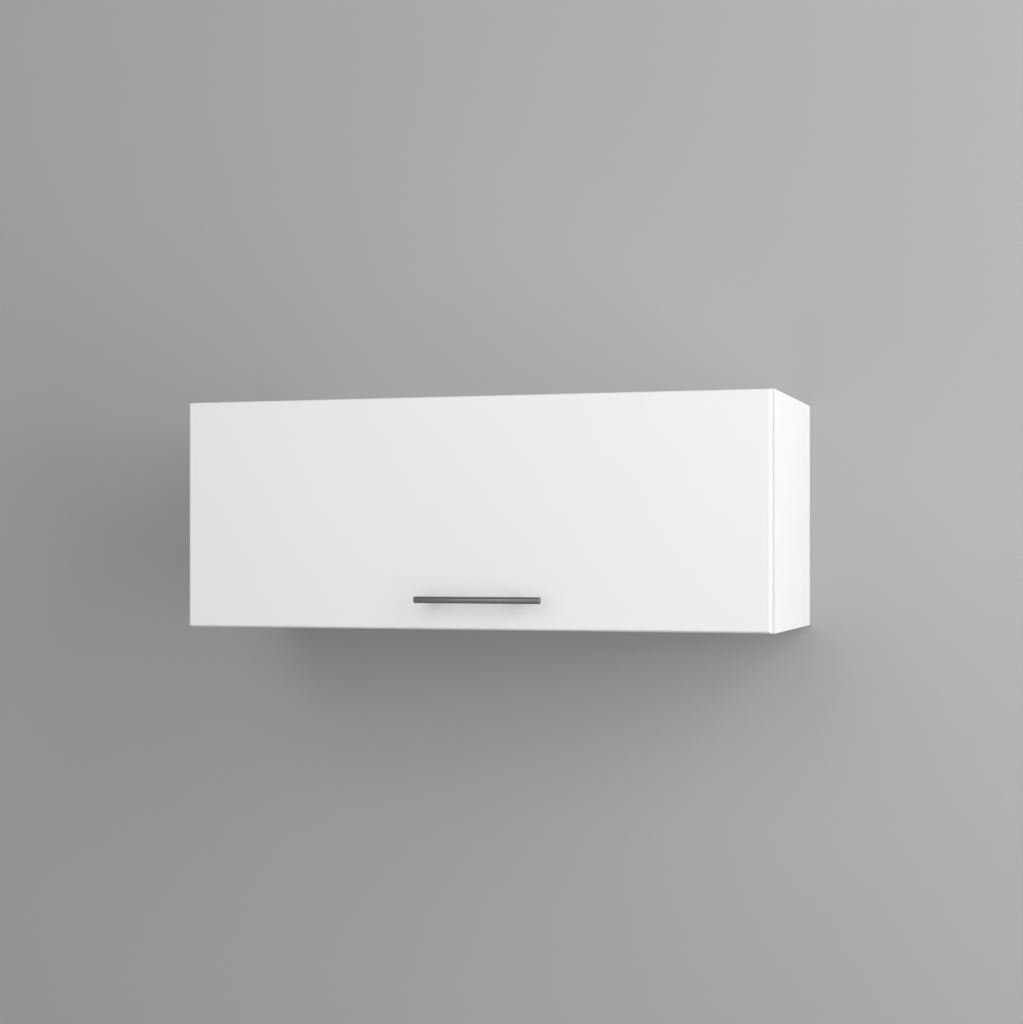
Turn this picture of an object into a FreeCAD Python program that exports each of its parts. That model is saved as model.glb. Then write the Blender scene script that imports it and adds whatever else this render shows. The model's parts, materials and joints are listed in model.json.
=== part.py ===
import FreeCAD, Part
import math
import os

# A wall cabinet with one wide front that lifts up on two concealed hinges and two flap stays.
# Millimetres. The origin is the centre of the flat rear face, X runs to the right as seen from
# the front, Y runs to the wall and Z up, so the closed front faces -Y.

# Carcass boards
cabinet_width = 900.0
cabinet_height = 345.0
carcass_depth = 340.0
board = 16.0
edge_band = 0.8
back_board = 3.0
back_rebate = 8.0
back_edge_play = 0.5
back_height_margin = 1.0

# Lift-up front
front_board = 18.0
front_gap = 2.0
front_side_reveal = 2.0
front_top_reveal = 2.0
front_bottom_reveal = 1.5
front_face_round = 3.0
front_back_round = 1.0

# Corner joints of the carcass: cam, bolt and dowel
cam_front_setback = 37.0
cam_rear_setback = 47.0
cam_radius = 7.5
cam_bore_depth = 12.5
cam_end_distance = 24.0
cam_height = 11.6
cam_sink = 0.3
cam_recess_length = 9.0
cam_recess_width = 1.6
cam_recess_depth = 2.5
bolt_radius = 3.0
bolt_thread_length = 10.0
bolt_neck_radius = 1.8
bolt_head_radius = 3.3
bolt_head_length = 3.4
bolt_bore_radius = 4.0
dowel_radius = 4.0
dowel_side_length = 11.0
dowel_end_length = 19.0
cap_radius = 8.5
cap_thickness = 1.0
cap_plug_reach = 3.4

# Flat sides of the small fittings and of the holes that take them
cup_sides = 24
fitting_sides = 12
screw_sides = 6

# Fits between pieces
part_play = 0.3
screw_play = 0.1
pivot_play = 0.05

# Countersunk chipboard screw, used for every piece of hardware
screw_radius = 1.6
screw_head_radius = 3.3
screw_head_height = 1.7
screw_length = 14.0

# Corner hanging brackets
hanger_steel = 2.0
hanger_reach = 58.0
hanger_depth = 52.0
hanger_height = 44.0
hanger_top_gap = 5.0
hanger_bend_round = 2.0
hanger_corner = 5.0
hanger_slot_inset = 26.0
hanger_slot_radius = 4.5
hanger_slot_length = 24.0
hanger_back_clearance = 2.0
hanger_screw_setback = 30.0
hanger_screw_pitch = 22.0

# Concealed hinges
hinge_inset = 100.0
hinge_axis_depth = 10.0
hinge_axis_drop = 6.5
hinge_pin_radius = 1.25
hinge_pin_length = 16.4
hinge_eye_radius = 2.0
cup_radius = 17.5
cup_depth = 13.2
cup_floor = 0.8
cup_edge_distance = 3.0
cup_flange = 1.0
cup_wing_radius = 7.0
cup_wing_drop = 9.5
cup_screw_pitch = 45.0
cup_cavity_half_width = 5.2
cup_cavity_below = 14.0
arm_steel = 2.2
arm_side_play = 0.4
arm_neck_drop = 16.0
arm_bend_radius = 4.0
arm_channel_half_width = 7.5
arm_channel_start = 6.0
arm_channel_length = 56.0
arm_web = 1.4
plate_steel = 2.0
plate_setback = 37.0
plate_screw_pitch = 32.0
plate_wing_half_depth = 8.0
plate_corner = 3.0
plate_rail_ahead = 25.0
plate_rail_behind = 20.0
fixing_screw_radius = 2.5
fixing_screw_head_radius = 5.0
fixing_screw_head_height = 2.4
fixing_screw_depth = 5.5
fixing_screw_behind = 8.0
fixing_slot_length = 9.0
adjust_screw_radius = 2.0
adjust_screw_ahead = 16.0
adjust_screw_stand_out = 0.6
adjust_screw_depth = 4.0

# Flap stays: the pivots form a parallelogram with the hinge axis
stay_plane_inset = 11.0
stay_pivot_back = 45.0
stay_pivot_drop = 45.0
stay_door_back = 22.0
stay_door_drop = 115.0
stay_pin_radius = 3.0
stay_pin_head_radius = 4.5
stay_pin_head_height = 1.4
stay_hub_radius = 9.0
stay_hub_thickness = 5.0
stay_lug_half_height = 5.5
stay_bracket_steel = 2.5
stay_bracket_web = 3.0
stay_bracket_web_back = 13.0
stay_bracket_length = 42.0
stay_bracket_height = 36.0
stay_bracket_screw_pitch = 20.0
stay_bracket_corner = 5.0
stay_tube_radius = 8.0
stay_tube_wall = 1.0
stay_tube_start = 20.0
stay_tube_tail = 20.0
fork_cheek = 4.0
fork_slot_play = 0.4
stay_plug_length = 12.0
brake_shoe_radius = 4.0
brake_collar_radius = 6.2
brake_collar_length = 2.0
spring_wire = 1.6
spring_coil_radius = 5.3
spring_turn_count = 5
spring_turn_sides = 8
foot_half_thickness = 5.0
foot_boss_radius = 6.0
foot_boss_height = 3.5
lever_steel = 3.0
lever_half_width = 7.0
door_bracket_steel = 2.5
door_bracket_ear = 3.0
door_bracket_ear_radius = 8.0
door_bracket_width = 26.0
door_bracket_height = 50.0
door_bracket_screw_pitch = 30.0
door_bracket_screw_inset = 7.0
door_bracket_corner = 4.0

# Bar handle
handle_length = 192.0
handle_radius = 5.0
handle_chamfer = 0.8
handle_stand_off = 30.0
handle_height = 43.7
handle_offset = 25.0
post_pitch = 128.0
post_radius = 4.0
handle_screw_radius = 2.0
handle_screw_head_radius = 4.0
handle_screw_head_height = 1.6
handle_screw_depth = 9.0
handle_screw_hole_radius = 2.5

# Door bumpers
bumper_radius = 4.0
bumper_dome = 0.8
bumper_from_bottom = 14.0

# Places worked out from the sizes above
half_width = cabinet_width / 2
half_height = cabinet_height / 2
inner_half_width = half_width - board
inner_half_height = half_height - board
carcass_front = -carcass_depth
front_back_face = carcass_front - front_gap
front_face = front_back_face - front_board
front_top = half_height - front_top_reveal
front_bottom = -half_height + front_bottom_reveal
front_half_width = half_width - front_side_reveal
panel_middle = half_height - board / 2
cam_rows = (carcass_front + cam_front_setback, -cam_rear_setback)
hinge_x = front_half_width - hinge_inset
hinge_y = front_back_face - hinge_axis_depth
hinge_z = front_top - hinge_axis_drop
cup_z = front_top - cup_edge_distance - cup_radius
arm_run_z = hinge_z - arm_neck_drop
hinge_neck_half_width = cup_cavity_half_width - arm_side_play
plate_y = carcass_front + plate_setback
stay_x = inner_half_width - stay_plane_inset
stay_pivot_y = hinge_y + stay_pivot_back
stay_pivot_z = hinge_z - stay_pivot_drop
stay_length = math.hypot(stay_door_back, stay_door_drop)
stay_tilt = math.degrees(math.atan2(stay_door_back, stay_door_drop))
stay_door_y = hinge_y + stay_door_back
stay_door_z = hinge_z - stay_door_drop
knee_y = stay_pivot_y + stay_door_back
knee_z = stay_pivot_z - stay_door_drop
hanger_z = inner_half_height - hanger_top_gap - hanger_height / 2
handle_y = front_face - handle_stand_off
handle_z = front_bottom + handle_height
side_flat = math.cos(math.pi / fitting_sides)

along_x = FreeCAD.Vector(1, 0, 0)
along_y = FreeCAD.Vector(0, 1, 0)
along_z = FreeCAD.Vector(0, 0, 1)


def point(x, y, z):
    """Point or direction from its three coordinates."""
    return FreeCAD.Vector(x, y, z)


def block(x0, x1, y0, y1, z0, z1):
    """Box from its low and high value on each axis."""
    return Part.makeBox(x1 - x0, y1 - y0, z1 - z0, point(x0, y0, z0))


def bar(radius, start, end):
    """Round bar between two points."""
    return Part.makeCylinder(radius, start.distanceToPoint(end), start, end - start)


def turned(axis_point, direction, steps):
    """Turned piece: each step is (radius at its start, radius at its end, length)."""
    pieces = []
    place = axis_point
    for start_radius, end_radius, length in steps:
        if start_radius == end_radius:
            pieces.append(Part.makeCylinder(start_radius, length, place, direction))
        else:
            pieces.append(Part.makeCone(start_radius, end_radius, length, place, direction))
        place = place + direction * length
    return joined(pieces)


def ring(radius, centre, direction, sides):
    """Corners of a regular outline square to a direction, on a circle."""
    turn = FreeCAD.Rotation(along_z, direction)
    corners = []
    for corner in range(sides):
        angle = 2 * math.pi * (corner + 0.5) / sides
        spoke = point(radius * math.cos(angle), radius * math.sin(angle), 0)
        corners.append(centre + turn.multVec(spoke))
    return corners


def closed_solid(outlines):
    """Solid from the corners of each of its flat faces, listed anticlockwise from outside."""
    faces = [Part.Face(Part.makePolygon(corners + corners[:1])) for corners in outlines]
    return Part.makeSolid(Part.makeShell(faces))


def faceted(axis_point, direction, steps, sides):
    """The same as turned, with flat sides: for small fittings and their holes."""
    pieces = []
    place = axis_point
    for start_radius, end_radius, length in steps:
        end = place + direction * length
        near = ring(start_radius, place, direction, sides)
        far = ring(end_radius, end, direction, sides)
        outlines = [near[::-1], far]
        for side in range(sides):
            following = (side + 1) % sides
            outlines.append([near[side], near[following], far[following], far[side]])
        pieces.append(closed_solid(outlines))
        place = end
    return joined(pieces)


def peg(radius, start, end, sides):
    """Flat-sided bar between two points."""
    length = start.distanceToPoint(end)
    return faceted(start, (end - start).normalize(), [(radius, radius, length)], sides)


def joined(pieces):
    """One solid from touching pieces, with the faces between them merged."""
    if len(pieces) == 1:
        return pieces[0]
    return pieces[0].fuse(pieces[1:]).removeSplitter()


def round_ended(start, end, radius, thickness):
    """Flat piece with half-round ends about two points, as thick as the thickness vector."""
    along = (end - start).normalize()
    across = thickness.cross(along).normalize() * radius
    tip = along * radius
    edges = [
        Part.LineSegment(start + across, end + across).toShape(),
        Part.Arc(end + across, end + tip, end - across).toShape(),
        Part.LineSegment(end - across, start - across).toShape(),
        Part.Arc(start - across, start - tip, start + across).toShape(),
    ]
    return Part.Face(Part.Wire(edges)).extrude(thickness)


def edges_that(shape, is_wanted):
    """The edges whose two ends pass the test."""
    found = []
    for edge in shape.Edges:
        ends = [vertex.Point for vertex in edge.Vertexes]
        if len(ends) == 2 and is_wanted(ends[0], ends[1]):
            found.append(edge)
    return found


def rounded_edges(shape, radius, is_wanted):
    """Fillet of the edges whose two ends pass the test."""
    return shape.makeFillet(radius, edges_that(shape, is_wanted))


def clipped_corners(shape, size, is_wanted):
    """Chamfer of the edges whose two ends pass the test: the clipped corners of stamped steel."""
    return shape.makeChamfer(size, edges_that(shape, is_wanted))


def same(a, b):
    """True for two coordinates in the same place."""
    return abs(a - b) < 1e-6


def mirrored(shape):
    """The left-hand piece of a right-hand one."""
    return shape.mirror(point(0, 0, 0), along_x)


def corner_pair(shape):
    """Right and left copies of a piece."""
    return [shape, mirrored(shape)]


def wood_screw(head_point, direction, play=0.0):
    """Countersunk screw, head face at the point; with play it is the hole that takes the screw."""
    return faceted(head_point, direction, [
        (screw_head_radius + play, screw_radius + play, screw_head_height),
        (screw_radius + play, screw_radius + play, screw_length - screw_head_height + play),
    ], screw_sides)


def headed_pin(centre, inner_reach, outer_reach):
    """Pin along X, headed at its inner end; both reaches are measured from the centre."""
    inner = point(centre.x - inner_reach, centre.y, centre.z)
    outer = point(centre.x + outer_reach, centre.y, centre.z)
    head = along_x * stay_pin_head_height
    return joined([
        bar(stay_pin_radius, inner, outer),
        peg(stay_pin_head_radius, inner - head, inner, fitting_sides),
    ])


# Corner joints ------------------------------------------------------------------------------

def cam_centres(face_z):
    """Centres of the right-hand cams at the face they are let into."""
    return [point(inner_half_width - cam_end_distance, row, face_z) for row in cam_rows]


def cam_lock(centre):
    """Zinc cam with a driver slot and a pocket for the head of its bolt."""
    top = centre - along_z * cam_sink
    cam = peg(cam_radius - screw_play, top, top - along_z * cam_height, fitting_sides)
    axis_z = centre.z - board / 2
    reach = bolt_head_radius + part_play
    pocket = block(centre.x - bolt_head_radius, centre.x + cam_radius,
                   centre.y - reach, centre.y + reach, axis_z - reach, axis_z + reach)
    driver_slot = block(centre.x - cam_recess_width / 2, centre.x + cam_recess_width / 2,
                        centre.y - cam_recess_length / 2, centre.y + cam_recess_length / 2,
                        top.z - cam_recess_depth, top.z)
    return cam.cut([pocket, driver_slot])


def cam_bolt(centre):
    """Bolt from the side panel to the cam, head end first."""
    head_end = centre.x - bolt_head_radius + part_play
    neck_length = centre.x + cam_radius - head_end - bolt_head_length
    shank_length = cam_end_distance - cam_radius + bolt_thread_length
    return faceted(point(head_end, centre.y, centre.z - board / 2), along_x, [
        (bolt_head_radius, bolt_head_radius, bolt_head_length),
        (bolt_neck_radius, bolt_neck_radius, neck_length),
        (bolt_radius, bolt_radius, shank_length),
    ], screw_sides)


def dowel_row():
    """Y of the dowel midway between the two cams of a corner."""
    return sum(cam_rows) / len(cam_rows)


def dowel(z):
    """Beech dowel of the right-hand end of one panel."""
    return peg(dowel_radius, point(inner_half_width - dowel_end_length, dowel_row(), z),
               point(inner_half_width + dowel_side_length, dowel_row(), z), fitting_sides)


def corner_bores(face_z, z):
    """Everything bored for the right-hand joints of one horizontal panel."""
    bores = []
    for centre in cam_centres(face_z):
        mouth = point(inner_half_width, centre.y, z)
        thread_end = mouth + along_x * (bolt_thread_length + part_play)
        bores.append(peg(cam_radius, centre, centre - along_z * cam_bore_depth, fitting_sides))
        bores.append(peg(bolt_bore_radius, point(centre.x, centre.y, z), mouth, screw_sides))
        bores.append(peg(bolt_radius + screw_play, mouth, thread_end, screw_sides))
    dowel_end = dowel_end_length + part_play
    dowel_tip = dowel_side_length + part_play
    bores.append(peg(dowel_radius + screw_play, point(inner_half_width - dowel_end, dowel_row(), z),
                     point(inner_half_width + dowel_tip, dowel_row(), z), fitting_sides))
    return bores


def cam_cap(centre):
    """Press-in cover over a cam that shows inside the cabinet."""
    plug_end = centre.z - cam_sink - cam_recess_depth + part_play
    half_plug = cam_recess_width / 2 - screw_play
    return joined([
        faceted(centre, along_z, [(cap_radius, cap_radius - cap_thickness / 2, cap_thickness)],
                fitting_sides),
        block(centre.x - half_plug, centre.x + half_plug, centre.y - cap_plug_reach,
              centre.y + cap_plug_reach, plug_end, centre.z),
    ])


# Carcass ------------------------------------------------------------------------------------

top_face_z = half_height
bottom_face_z = -inner_half_height
joint_levels = ((top_face_z, panel_middle), (bottom_face_z, -panel_middle))


def hanger_screw_points():
    """Head centres of the screws in the side flange of the right-hand hanging bracket."""
    x = inner_half_width - hanger_steel
    y = -back_board - hanger_screw_setback
    return [point(x, y, hanger_z + step * hanger_screw_pitch / 2) for step in (-1, 1)]


def stay_bracket_screw_points():
    """Head centres of the screws in the right-hand stay bracket."""
    x = inner_half_width - stay_bracket_steel
    middle = stay_pivot_y + stay_bracket_web_back + (stay_bracket_web + stay_bracket_length) / 2
    return [point(x, middle + step * stay_bracket_screw_pitch / 2,
                  stay_pivot_z + step * stay_bracket_screw_pitch / 2) for step in (-1, 1)]


def hinge_plate_screw_points():
    """Head centres of the screws in the right-hand hinge plate."""
    z = inner_half_height - plate_steel
    return [point(hinge_x + step * plate_screw_pitch / 2, plate_y, z) for step in (-1, 1)]


def cup_screw_points():
    """Head centres of the screws in the wings of the right-hand hinge cup."""
    y = front_back_face + cup_flange
    return [point(hinge_x + step * cup_screw_pitch / 2, y, cup_z - cup_wing_drop) for step in (-1, 1)]


def door_bracket_screw_points():
    """Head centres of the screws in the right-hand stay bracket on the front."""
    x = door_bracket_outer_x() - door_bracket_width + door_bracket_screw_inset
    y = front_back_face + door_bracket_steel
    return [point(x, y, stay_door_z + step * door_bracket_screw_pitch / 2) for step in (-1, 1)]


def door_bracket_outer_x():
    """Outer face of the ear of the right-hand stay bracket on the front."""
    return stay_x - foot_half_thickness - foot_boss_height + door_bracket_ear


def side_panel():
    """Right-hand side panel, rebated for the back panel and bored for its fittings."""
    panel = block(inner_half_width, half_width, carcass_front + edge_band, 0,
                  -half_height + edge_band, half_height)
    cuts = [block(inner_half_width, inner_half_width + back_rebate, -back_board, 0,
                  -half_height, half_height)]
    for face_z, z in joint_levels:
        cuts += corner_bores(face_z, z)
    for head in hanger_screw_points() + stay_bracket_screw_points():
        cuts.append(wood_screw(head, along_x, screw_play))
    return panel.cut(cuts)


def cross_panel(face_z, z):
    """Top or bottom panel between the sides, with its cams let in from the upper face."""
    panel = block(-inner_half_width, inner_half_width, carcass_front + edge_band, -back_board,
                  z - board / 2, z + board / 2)
    cuts = []
    for bore in corner_bores(face_z, z):
        cuts += corner_pair(bore)
    return panel.cut(cuts)


def top_panel():
    """Top panel with the pilot holes of the hinge plates in its underside."""
    cuts = []
    for head in hinge_plate_screw_points():
        cuts += corner_pair(wood_screw(head, along_z, screw_play))
    return cross_panel(top_face_z, panel_middle).cut(cuts)


def back_panel():
    """Thin back panel in the rebate, with a window behind the slot of each hanging bracket."""
    reach = inner_half_width + back_rebate - back_edge_play
    panel = block(-reach, reach, -back_board, 0,
                  -half_height + back_height_margin, half_height - back_height_margin)
    centre_x = inner_half_width - hanger_slot_inset
    half_window = hanger_slot_length / 2 + hanger_back_clearance
    half_rise = hanger_slot_radius + hanger_back_clearance
    window = block(centre_x - half_window, centre_x + half_window, -back_board, 0,
                   hanger_z - half_rise, hanger_z + half_rise)
    return panel.cut(corner_pair(window))


def edge_bands():
    """Strips on the front edges of the four boards and on the lower edges of the sides."""
    banded_front = carcass_front + edge_band
    side_front = block(inner_half_width, half_width, carcass_front, banded_front,
                       -half_height, half_height)
    side_below = block(inner_half_width, half_width, banded_front, 0,
                       -half_height, -half_height + edge_band)
    bands = corner_pair(side_front) + corner_pair(side_below)
    for z in (panel_middle, -panel_middle):
        bands.append(block(-inner_half_width, inner_half_width, carcass_front, banded_front,
                           z - board / 2, z + board / 2))
    return bands


def joint_fittings():
    """Cams, bolts and dowels of all the corners, and the caps over the lower cams."""
    cams = []
    bolts = []
    dowels = []
    for face_z, z in joint_levels:
        for centre in cam_centres(face_z):
            cams += corner_pair(cam_lock(centre))
            bolts += corner_pair(cam_bolt(centre))
        dowels += corner_pair(dowel(z))
    caps = []
    for centre in cam_centres(bottom_face_z):
        caps += corner_pair(cam_cap(centre))
    return cams, bolts, dowels, caps


# Hanging brackets ---------------------------------------------------------------------------

def hanging_bracket():
    """Bent steel angle in the right-hand rear corner, with a level slot for the wall screw."""
    rear = -back_board
    low = hanger_z - hanger_height / 2
    high = hanger_z + hanger_height / 2
    inner_x = inner_half_width - hanger_reach
    angle = joined([
        block(inner_x, inner_half_width, rear - hanger_steel, rear, low, high),
        block(inner_half_width - hanger_steel, inner_half_width, rear - hanger_depth, rear, low, high),
    ])

    def is_inside_bend(a, b):
        return all(same(end.x, inner_half_width - hanger_steel) and same(end.y, rear - hanger_steel)
                   for end in (a, b))

    def is_outside_bend(a, b):
        return all(same(end.x, inner_half_width) and same(end.y, rear) for end in (a, b))

    def is_free_corner(a, b):
        flange_end = same(a.x, inner_x) and same(b.x, inner_x)
        side_end = same(a.y, rear - hanger_depth) and same(b.y, rear - hanger_depth)
        return same(a.z, b.z) and (flange_end or side_end)

    angle = clipped_corners(angle, hanger_corner, is_free_corner)
    angle = rounded_edges(angle, hanger_bend_round, is_inside_bend)
    angle = rounded_edges(angle, hanger_bend_round + hanger_steel, is_outside_bend)
    slot_x = inner_half_width - hanger_slot_inset
    slot_reach = hanger_slot_length / 2 - hanger_slot_radius
    slot_y = rear - hanger_steel
    slot = round_ended(point(slot_x - slot_reach, slot_y, hanger_z),
                       point(slot_x + slot_reach, slot_y, hanger_z),
                       hanger_slot_radius, along_y * hanger_steel)
    cuts = [slot]
    for head in hanger_screw_points():
        cuts.append(wood_screw(head, along_x, screw_play))
    return angle.cut(cuts)


# Concealed hinges ---------------------------------------------------------------------------

def hinge_pin():
    """Pin across the cup of the right-hand hinge."""
    half = hinge_pin_length / 2
    return bar(hinge_pin_radius, point(hinge_x - half, hinge_y, hinge_z),
               point(hinge_x + half, hinge_y, hinge_z))


def fixed_bore(radius, start, end):
    """Flat-sided hole that holds a round pin which doesn't turn in it."""
    return peg((radius + pivot_play) / side_flat, start, end, fitting_sides)


def cup_bore():
    """Round bore in the front that takes the hinge cup."""
    mouth = point(hinge_x, front_back_face, cup_z)
    return peg(cup_radius + screw_play, mouth, mouth - along_y * (cup_depth + part_play), cup_sides)


def hinge_cup():
    """Die-cast cup with two screw wings and a cavity for the arm."""
    centre = point(hinge_x, front_back_face, cup_z)
    half_pitch = cup_screw_pitch / 2
    wing_z = cup_z - cup_wing_drop
    pieces = [
        peg(cup_radius, centre + along_y * cup_flange, centre - along_y * cup_depth, cup_sides),
        block(hinge_x - half_pitch, hinge_x + half_pitch, front_back_face, front_back_face + cup_flange,
              wing_z - cup_wing_radius * side_flat, wing_z + cup_wing_radius * side_flat),
    ]
    for step in (-1, 1):
        wing = point(hinge_x + step * half_pitch, front_back_face, wing_z)
        pieces.append(peg(cup_wing_radius, wing, wing + along_y * cup_flange, fitting_sides))
    cup = joined(pieces)
    floor = front_back_face - cup_depth + cup_floor
    top = hinge_z + hinge_eye_radius + part_play
    bottom = cup_z - cup_cavity_below
    cavity = block(hinge_x - cup_cavity_half_width, hinge_x + cup_cavity_half_width,
                   floor, front_back_face + cup_flange, bottom, top)
    half_pin = hinge_pin_length / 2 + pivot_play
    pin_hole = fixed_bore(hinge_pin_radius, point(hinge_x - half_pin, hinge_y, hinge_z),
                          point(hinge_x + half_pin, hinge_y, hinge_z))
    cuts = [cavity, pin_hole]
    for head in cup_screw_points():
        cuts.append(wood_screw(head, -along_y, screw_play))
    return cup.cut(cuts)


def hinge_arm():
    """Cranked arm: eye on the pin, neck out of the cup, channel over the rail of the plate."""
    half = arm_steel / 2
    neck_half_width = hinge_neck_half_width
    bend_y = hinge_y + arm_bend_radius
    bend_z = arm_run_z + arm_bend_radius
    channel_start = carcass_front + arm_channel_start
    channel_end = channel_start + arm_channel_length
    cos45 = math.cos(math.pi / 4)
    outer = arm_bend_radius + half
    inner = arm_bend_radius - half

    def at(y, z):
        return point(hinge_x - neck_half_width, y, z)

    edges = [
        Part.LineSegment(at(hinge_y - half, hinge_z), at(hinge_y - half, bend_z)).toShape(),
        Part.Arc(at(hinge_y - half, bend_z), at(bend_y - outer * cos45, bend_z - outer * cos45),
                 at(bend_y, arm_run_z - half)).toShape(),
        Part.LineSegment(at(bend_y, arm_run_z - half), at(channel_end, arm_run_z - half)).toShape(),
        Part.LineSegment(at(channel_end, arm_run_z - half), at(channel_end, arm_run_z + half)).toShape(),
        Part.LineSegment(at(channel_end, arm_run_z + half), at(bend_y, arm_run_z + half)).toShape(),
        Part.Arc(at(bend_y, arm_run_z + half), at(bend_y - inner * cos45, bend_z - inner * cos45),
                 at(hinge_y + half, bend_z)).toShape(),
        Part.LineSegment(at(hinge_y + half, bend_z), at(hinge_y + half, hinge_z)).toShape(),
        Part.LineSegment(at(hinge_y + half, hinge_z), at(hinge_y - half, hinge_z)).toShape(),
    ]
    strap = Part.Face(Part.Wire(edges)).extrude(along_x * 2 * neck_half_width)
    eye = peg(hinge_eye_radius, point(hinge_x - neck_half_width, hinge_y, hinge_z),
              point(hinge_x + neck_half_width, hinge_y, hinge_z), fitting_sides)
    web_top = inner_half_height - plate_steel - part_play
    channel = block(hinge_x - arm_channel_half_width, hinge_x + arm_channel_half_width,
                    channel_start, channel_end, arm_run_z - half, web_top)
    hollow_half_width = arm_channel_half_width - arm_web
    hollow = block(hinge_x - hollow_half_width, hinge_x + hollow_half_width,
                   channel_start, channel_end, arm_run_z + half, web_top)
    slot_half_width = fixing_screw_radius + screw_play
    slot_y = plate_y + fixing_screw_behind
    slot = block(hinge_x - slot_half_width, hinge_x + slot_half_width, slot_y - fixing_slot_length / 2,
                 slot_y + fixing_slot_length / 2, arm_run_z - half, arm_run_z + half)
    adjust_place = point(hinge_x, plate_y - adjust_screw_ahead, arm_run_z - half)
    adjust = peg(adjust_screw_radius + screw_play, adjust_place,
                 adjust_place + along_z * arm_steel, screw_sides)
    pin_bore = bar(hinge_pin_radius + pivot_play, point(hinge_x - neck_half_width, hinge_y, hinge_z),
                   point(hinge_x + neck_half_width, hinge_y, hinge_z))
    return joined([strap, eye, channel.cut(hollow)]).cut([pin_bore, slot, adjust])


def hinge_arm_screws():
    """Fixing screw and adjusting screw of the right-hand arm, driven up into the rail."""
    under = arm_run_z - arm_steel / 2
    head = fixing_screw_head_radius
    head_face = point(hinge_x, plate_y + fixing_screw_behind, under - fixing_screw_head_height)
    fixing = faceted(head_face, along_z, [
        (head - fixing_screw_head_height / 2, head, fixing_screw_head_height),
        (fixing_screw_radius, fixing_screw_radius, arm_steel + fixing_screw_depth - part_play),
    ], screw_sides)
    tip = point(hinge_x, plate_y - adjust_screw_ahead, under - adjust_screw_stand_out)
    adjust_length = adjust_screw_stand_out + arm_steel + adjust_screw_depth - part_play
    return [fixing, peg(adjust_screw_radius, tip, tip + along_z * adjust_length, screw_sides)]


def hinge_plate():
    """Mounting plate under the top panel: two screw wings and a rail for the arm."""
    under = inner_half_height - plate_steel
    half_pitch = plate_screw_pitch / 2
    wing_reach = half_pitch + plate_wing_half_depth
    wings = block(hinge_x - wing_reach, hinge_x + wing_reach, plate_y - plate_wing_half_depth,
                  plate_y + plate_wing_half_depth, under, inner_half_height)
    wings = clipped_corners(wings, plate_corner, lambda a, b: same(a.x, b.x) and same(a.y, b.y))
    rail_half_width = arm_channel_half_width - arm_web - part_play
    rail_under = arm_run_z + arm_steel / 2
    rail = block(hinge_x - rail_half_width, hinge_x + rail_half_width,
                 plate_y - plate_rail_ahead, plate_y + plate_rail_behind, rail_under, inner_half_height)
    fixing = point(hinge_x, plate_y + fixing_screw_behind, rail_under)
    adjust = point(hinge_x, plate_y - adjust_screw_ahead, rail_under)
    cuts = [
        peg(fixing_screw_radius + screw_play, fixing, fixing + along_z * fixing_screw_depth,
            screw_sides),
        peg(adjust_screw_radius + screw_play, adjust, adjust + along_z * adjust_screw_depth,
            screw_sides),
    ]
    for head in hinge_plate_screw_points():
        cuts.append(wood_screw(head, along_z, screw_play))
    return joined([wings, rail]).cut(cuts)


# Flap stays ---------------------------------------------------------------------------------

def on_stay(shape):
    """Place a piece drawn hanging straight down from the origin on the line of the stay."""
    placed = shape.copy()
    placed.rotate(point(0, 0, 0), along_x, stay_tilt)
    placed.translate(point(stay_x, stay_pivot_y, stay_pivot_z))
    return placed


def down(distance):
    """Point on the line of the stay at a distance from its upper pivot."""
    return point(0, 0, -distance)


def fork_half_width():
    """Half the width across the cheeks of the fork."""
    return stay_hub_thickness / 2 + part_play + fork_cheek


def stay_cabinet_bracket():
    """Cranked bracket on the side panel with the round brake hub of the stay."""
    pivot = point(stay_x, stay_pivot_y, stay_pivot_z)
    half_hub = stay_hub_thickness / 2
    web_y = stay_pivot_y + stay_bracket_web_back
    plate_low = stay_pivot_z - stay_bracket_height / 2
    hub = bar(stay_hub_radius, pivot - along_x * half_hub, pivot + along_x * half_hub)
    lug = block(stay_x - half_hub, stay_x + half_hub, stay_pivot_y, web_y + stay_bracket_web,
                stay_pivot_z - stay_lug_half_height, stay_pivot_z + stay_lug_half_height)
    web = block(stay_x - half_hub, inner_half_width, web_y, web_y + stay_bracket_web,
                stay_pivot_z - stay_hub_radius, stay_pivot_z + stay_hub_radius)
    plate_end = web_y + stay_bracket_web + stay_bracket_length
    plate = block(inner_half_width - stay_bracket_steel, inner_half_width, web_y, plate_end,
                  plate_low, plate_low + stay_bracket_height)
    plate = clipped_corners(plate, stay_bracket_corner,
                            lambda a, b: same(a.y, b.y) and same(a.z, b.z))
    cuts = [fixed_bore(stay_pin_radius, pivot - along_x * half_hub, pivot + along_x * half_hub)]
    for head in stay_bracket_screw_points():
        cuts.append(wood_screw(head, along_x, screw_play))
    return joined([hub, lug, web, plate]).cut(cuts)


def stay_cabinet_pin():
    """Pin through the fork and the brake hub."""
    reach = fork_half_width()
    return headed_pin(point(stay_x, stay_pivot_y, stay_pivot_z), reach + part_play / 2, reach)


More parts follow.
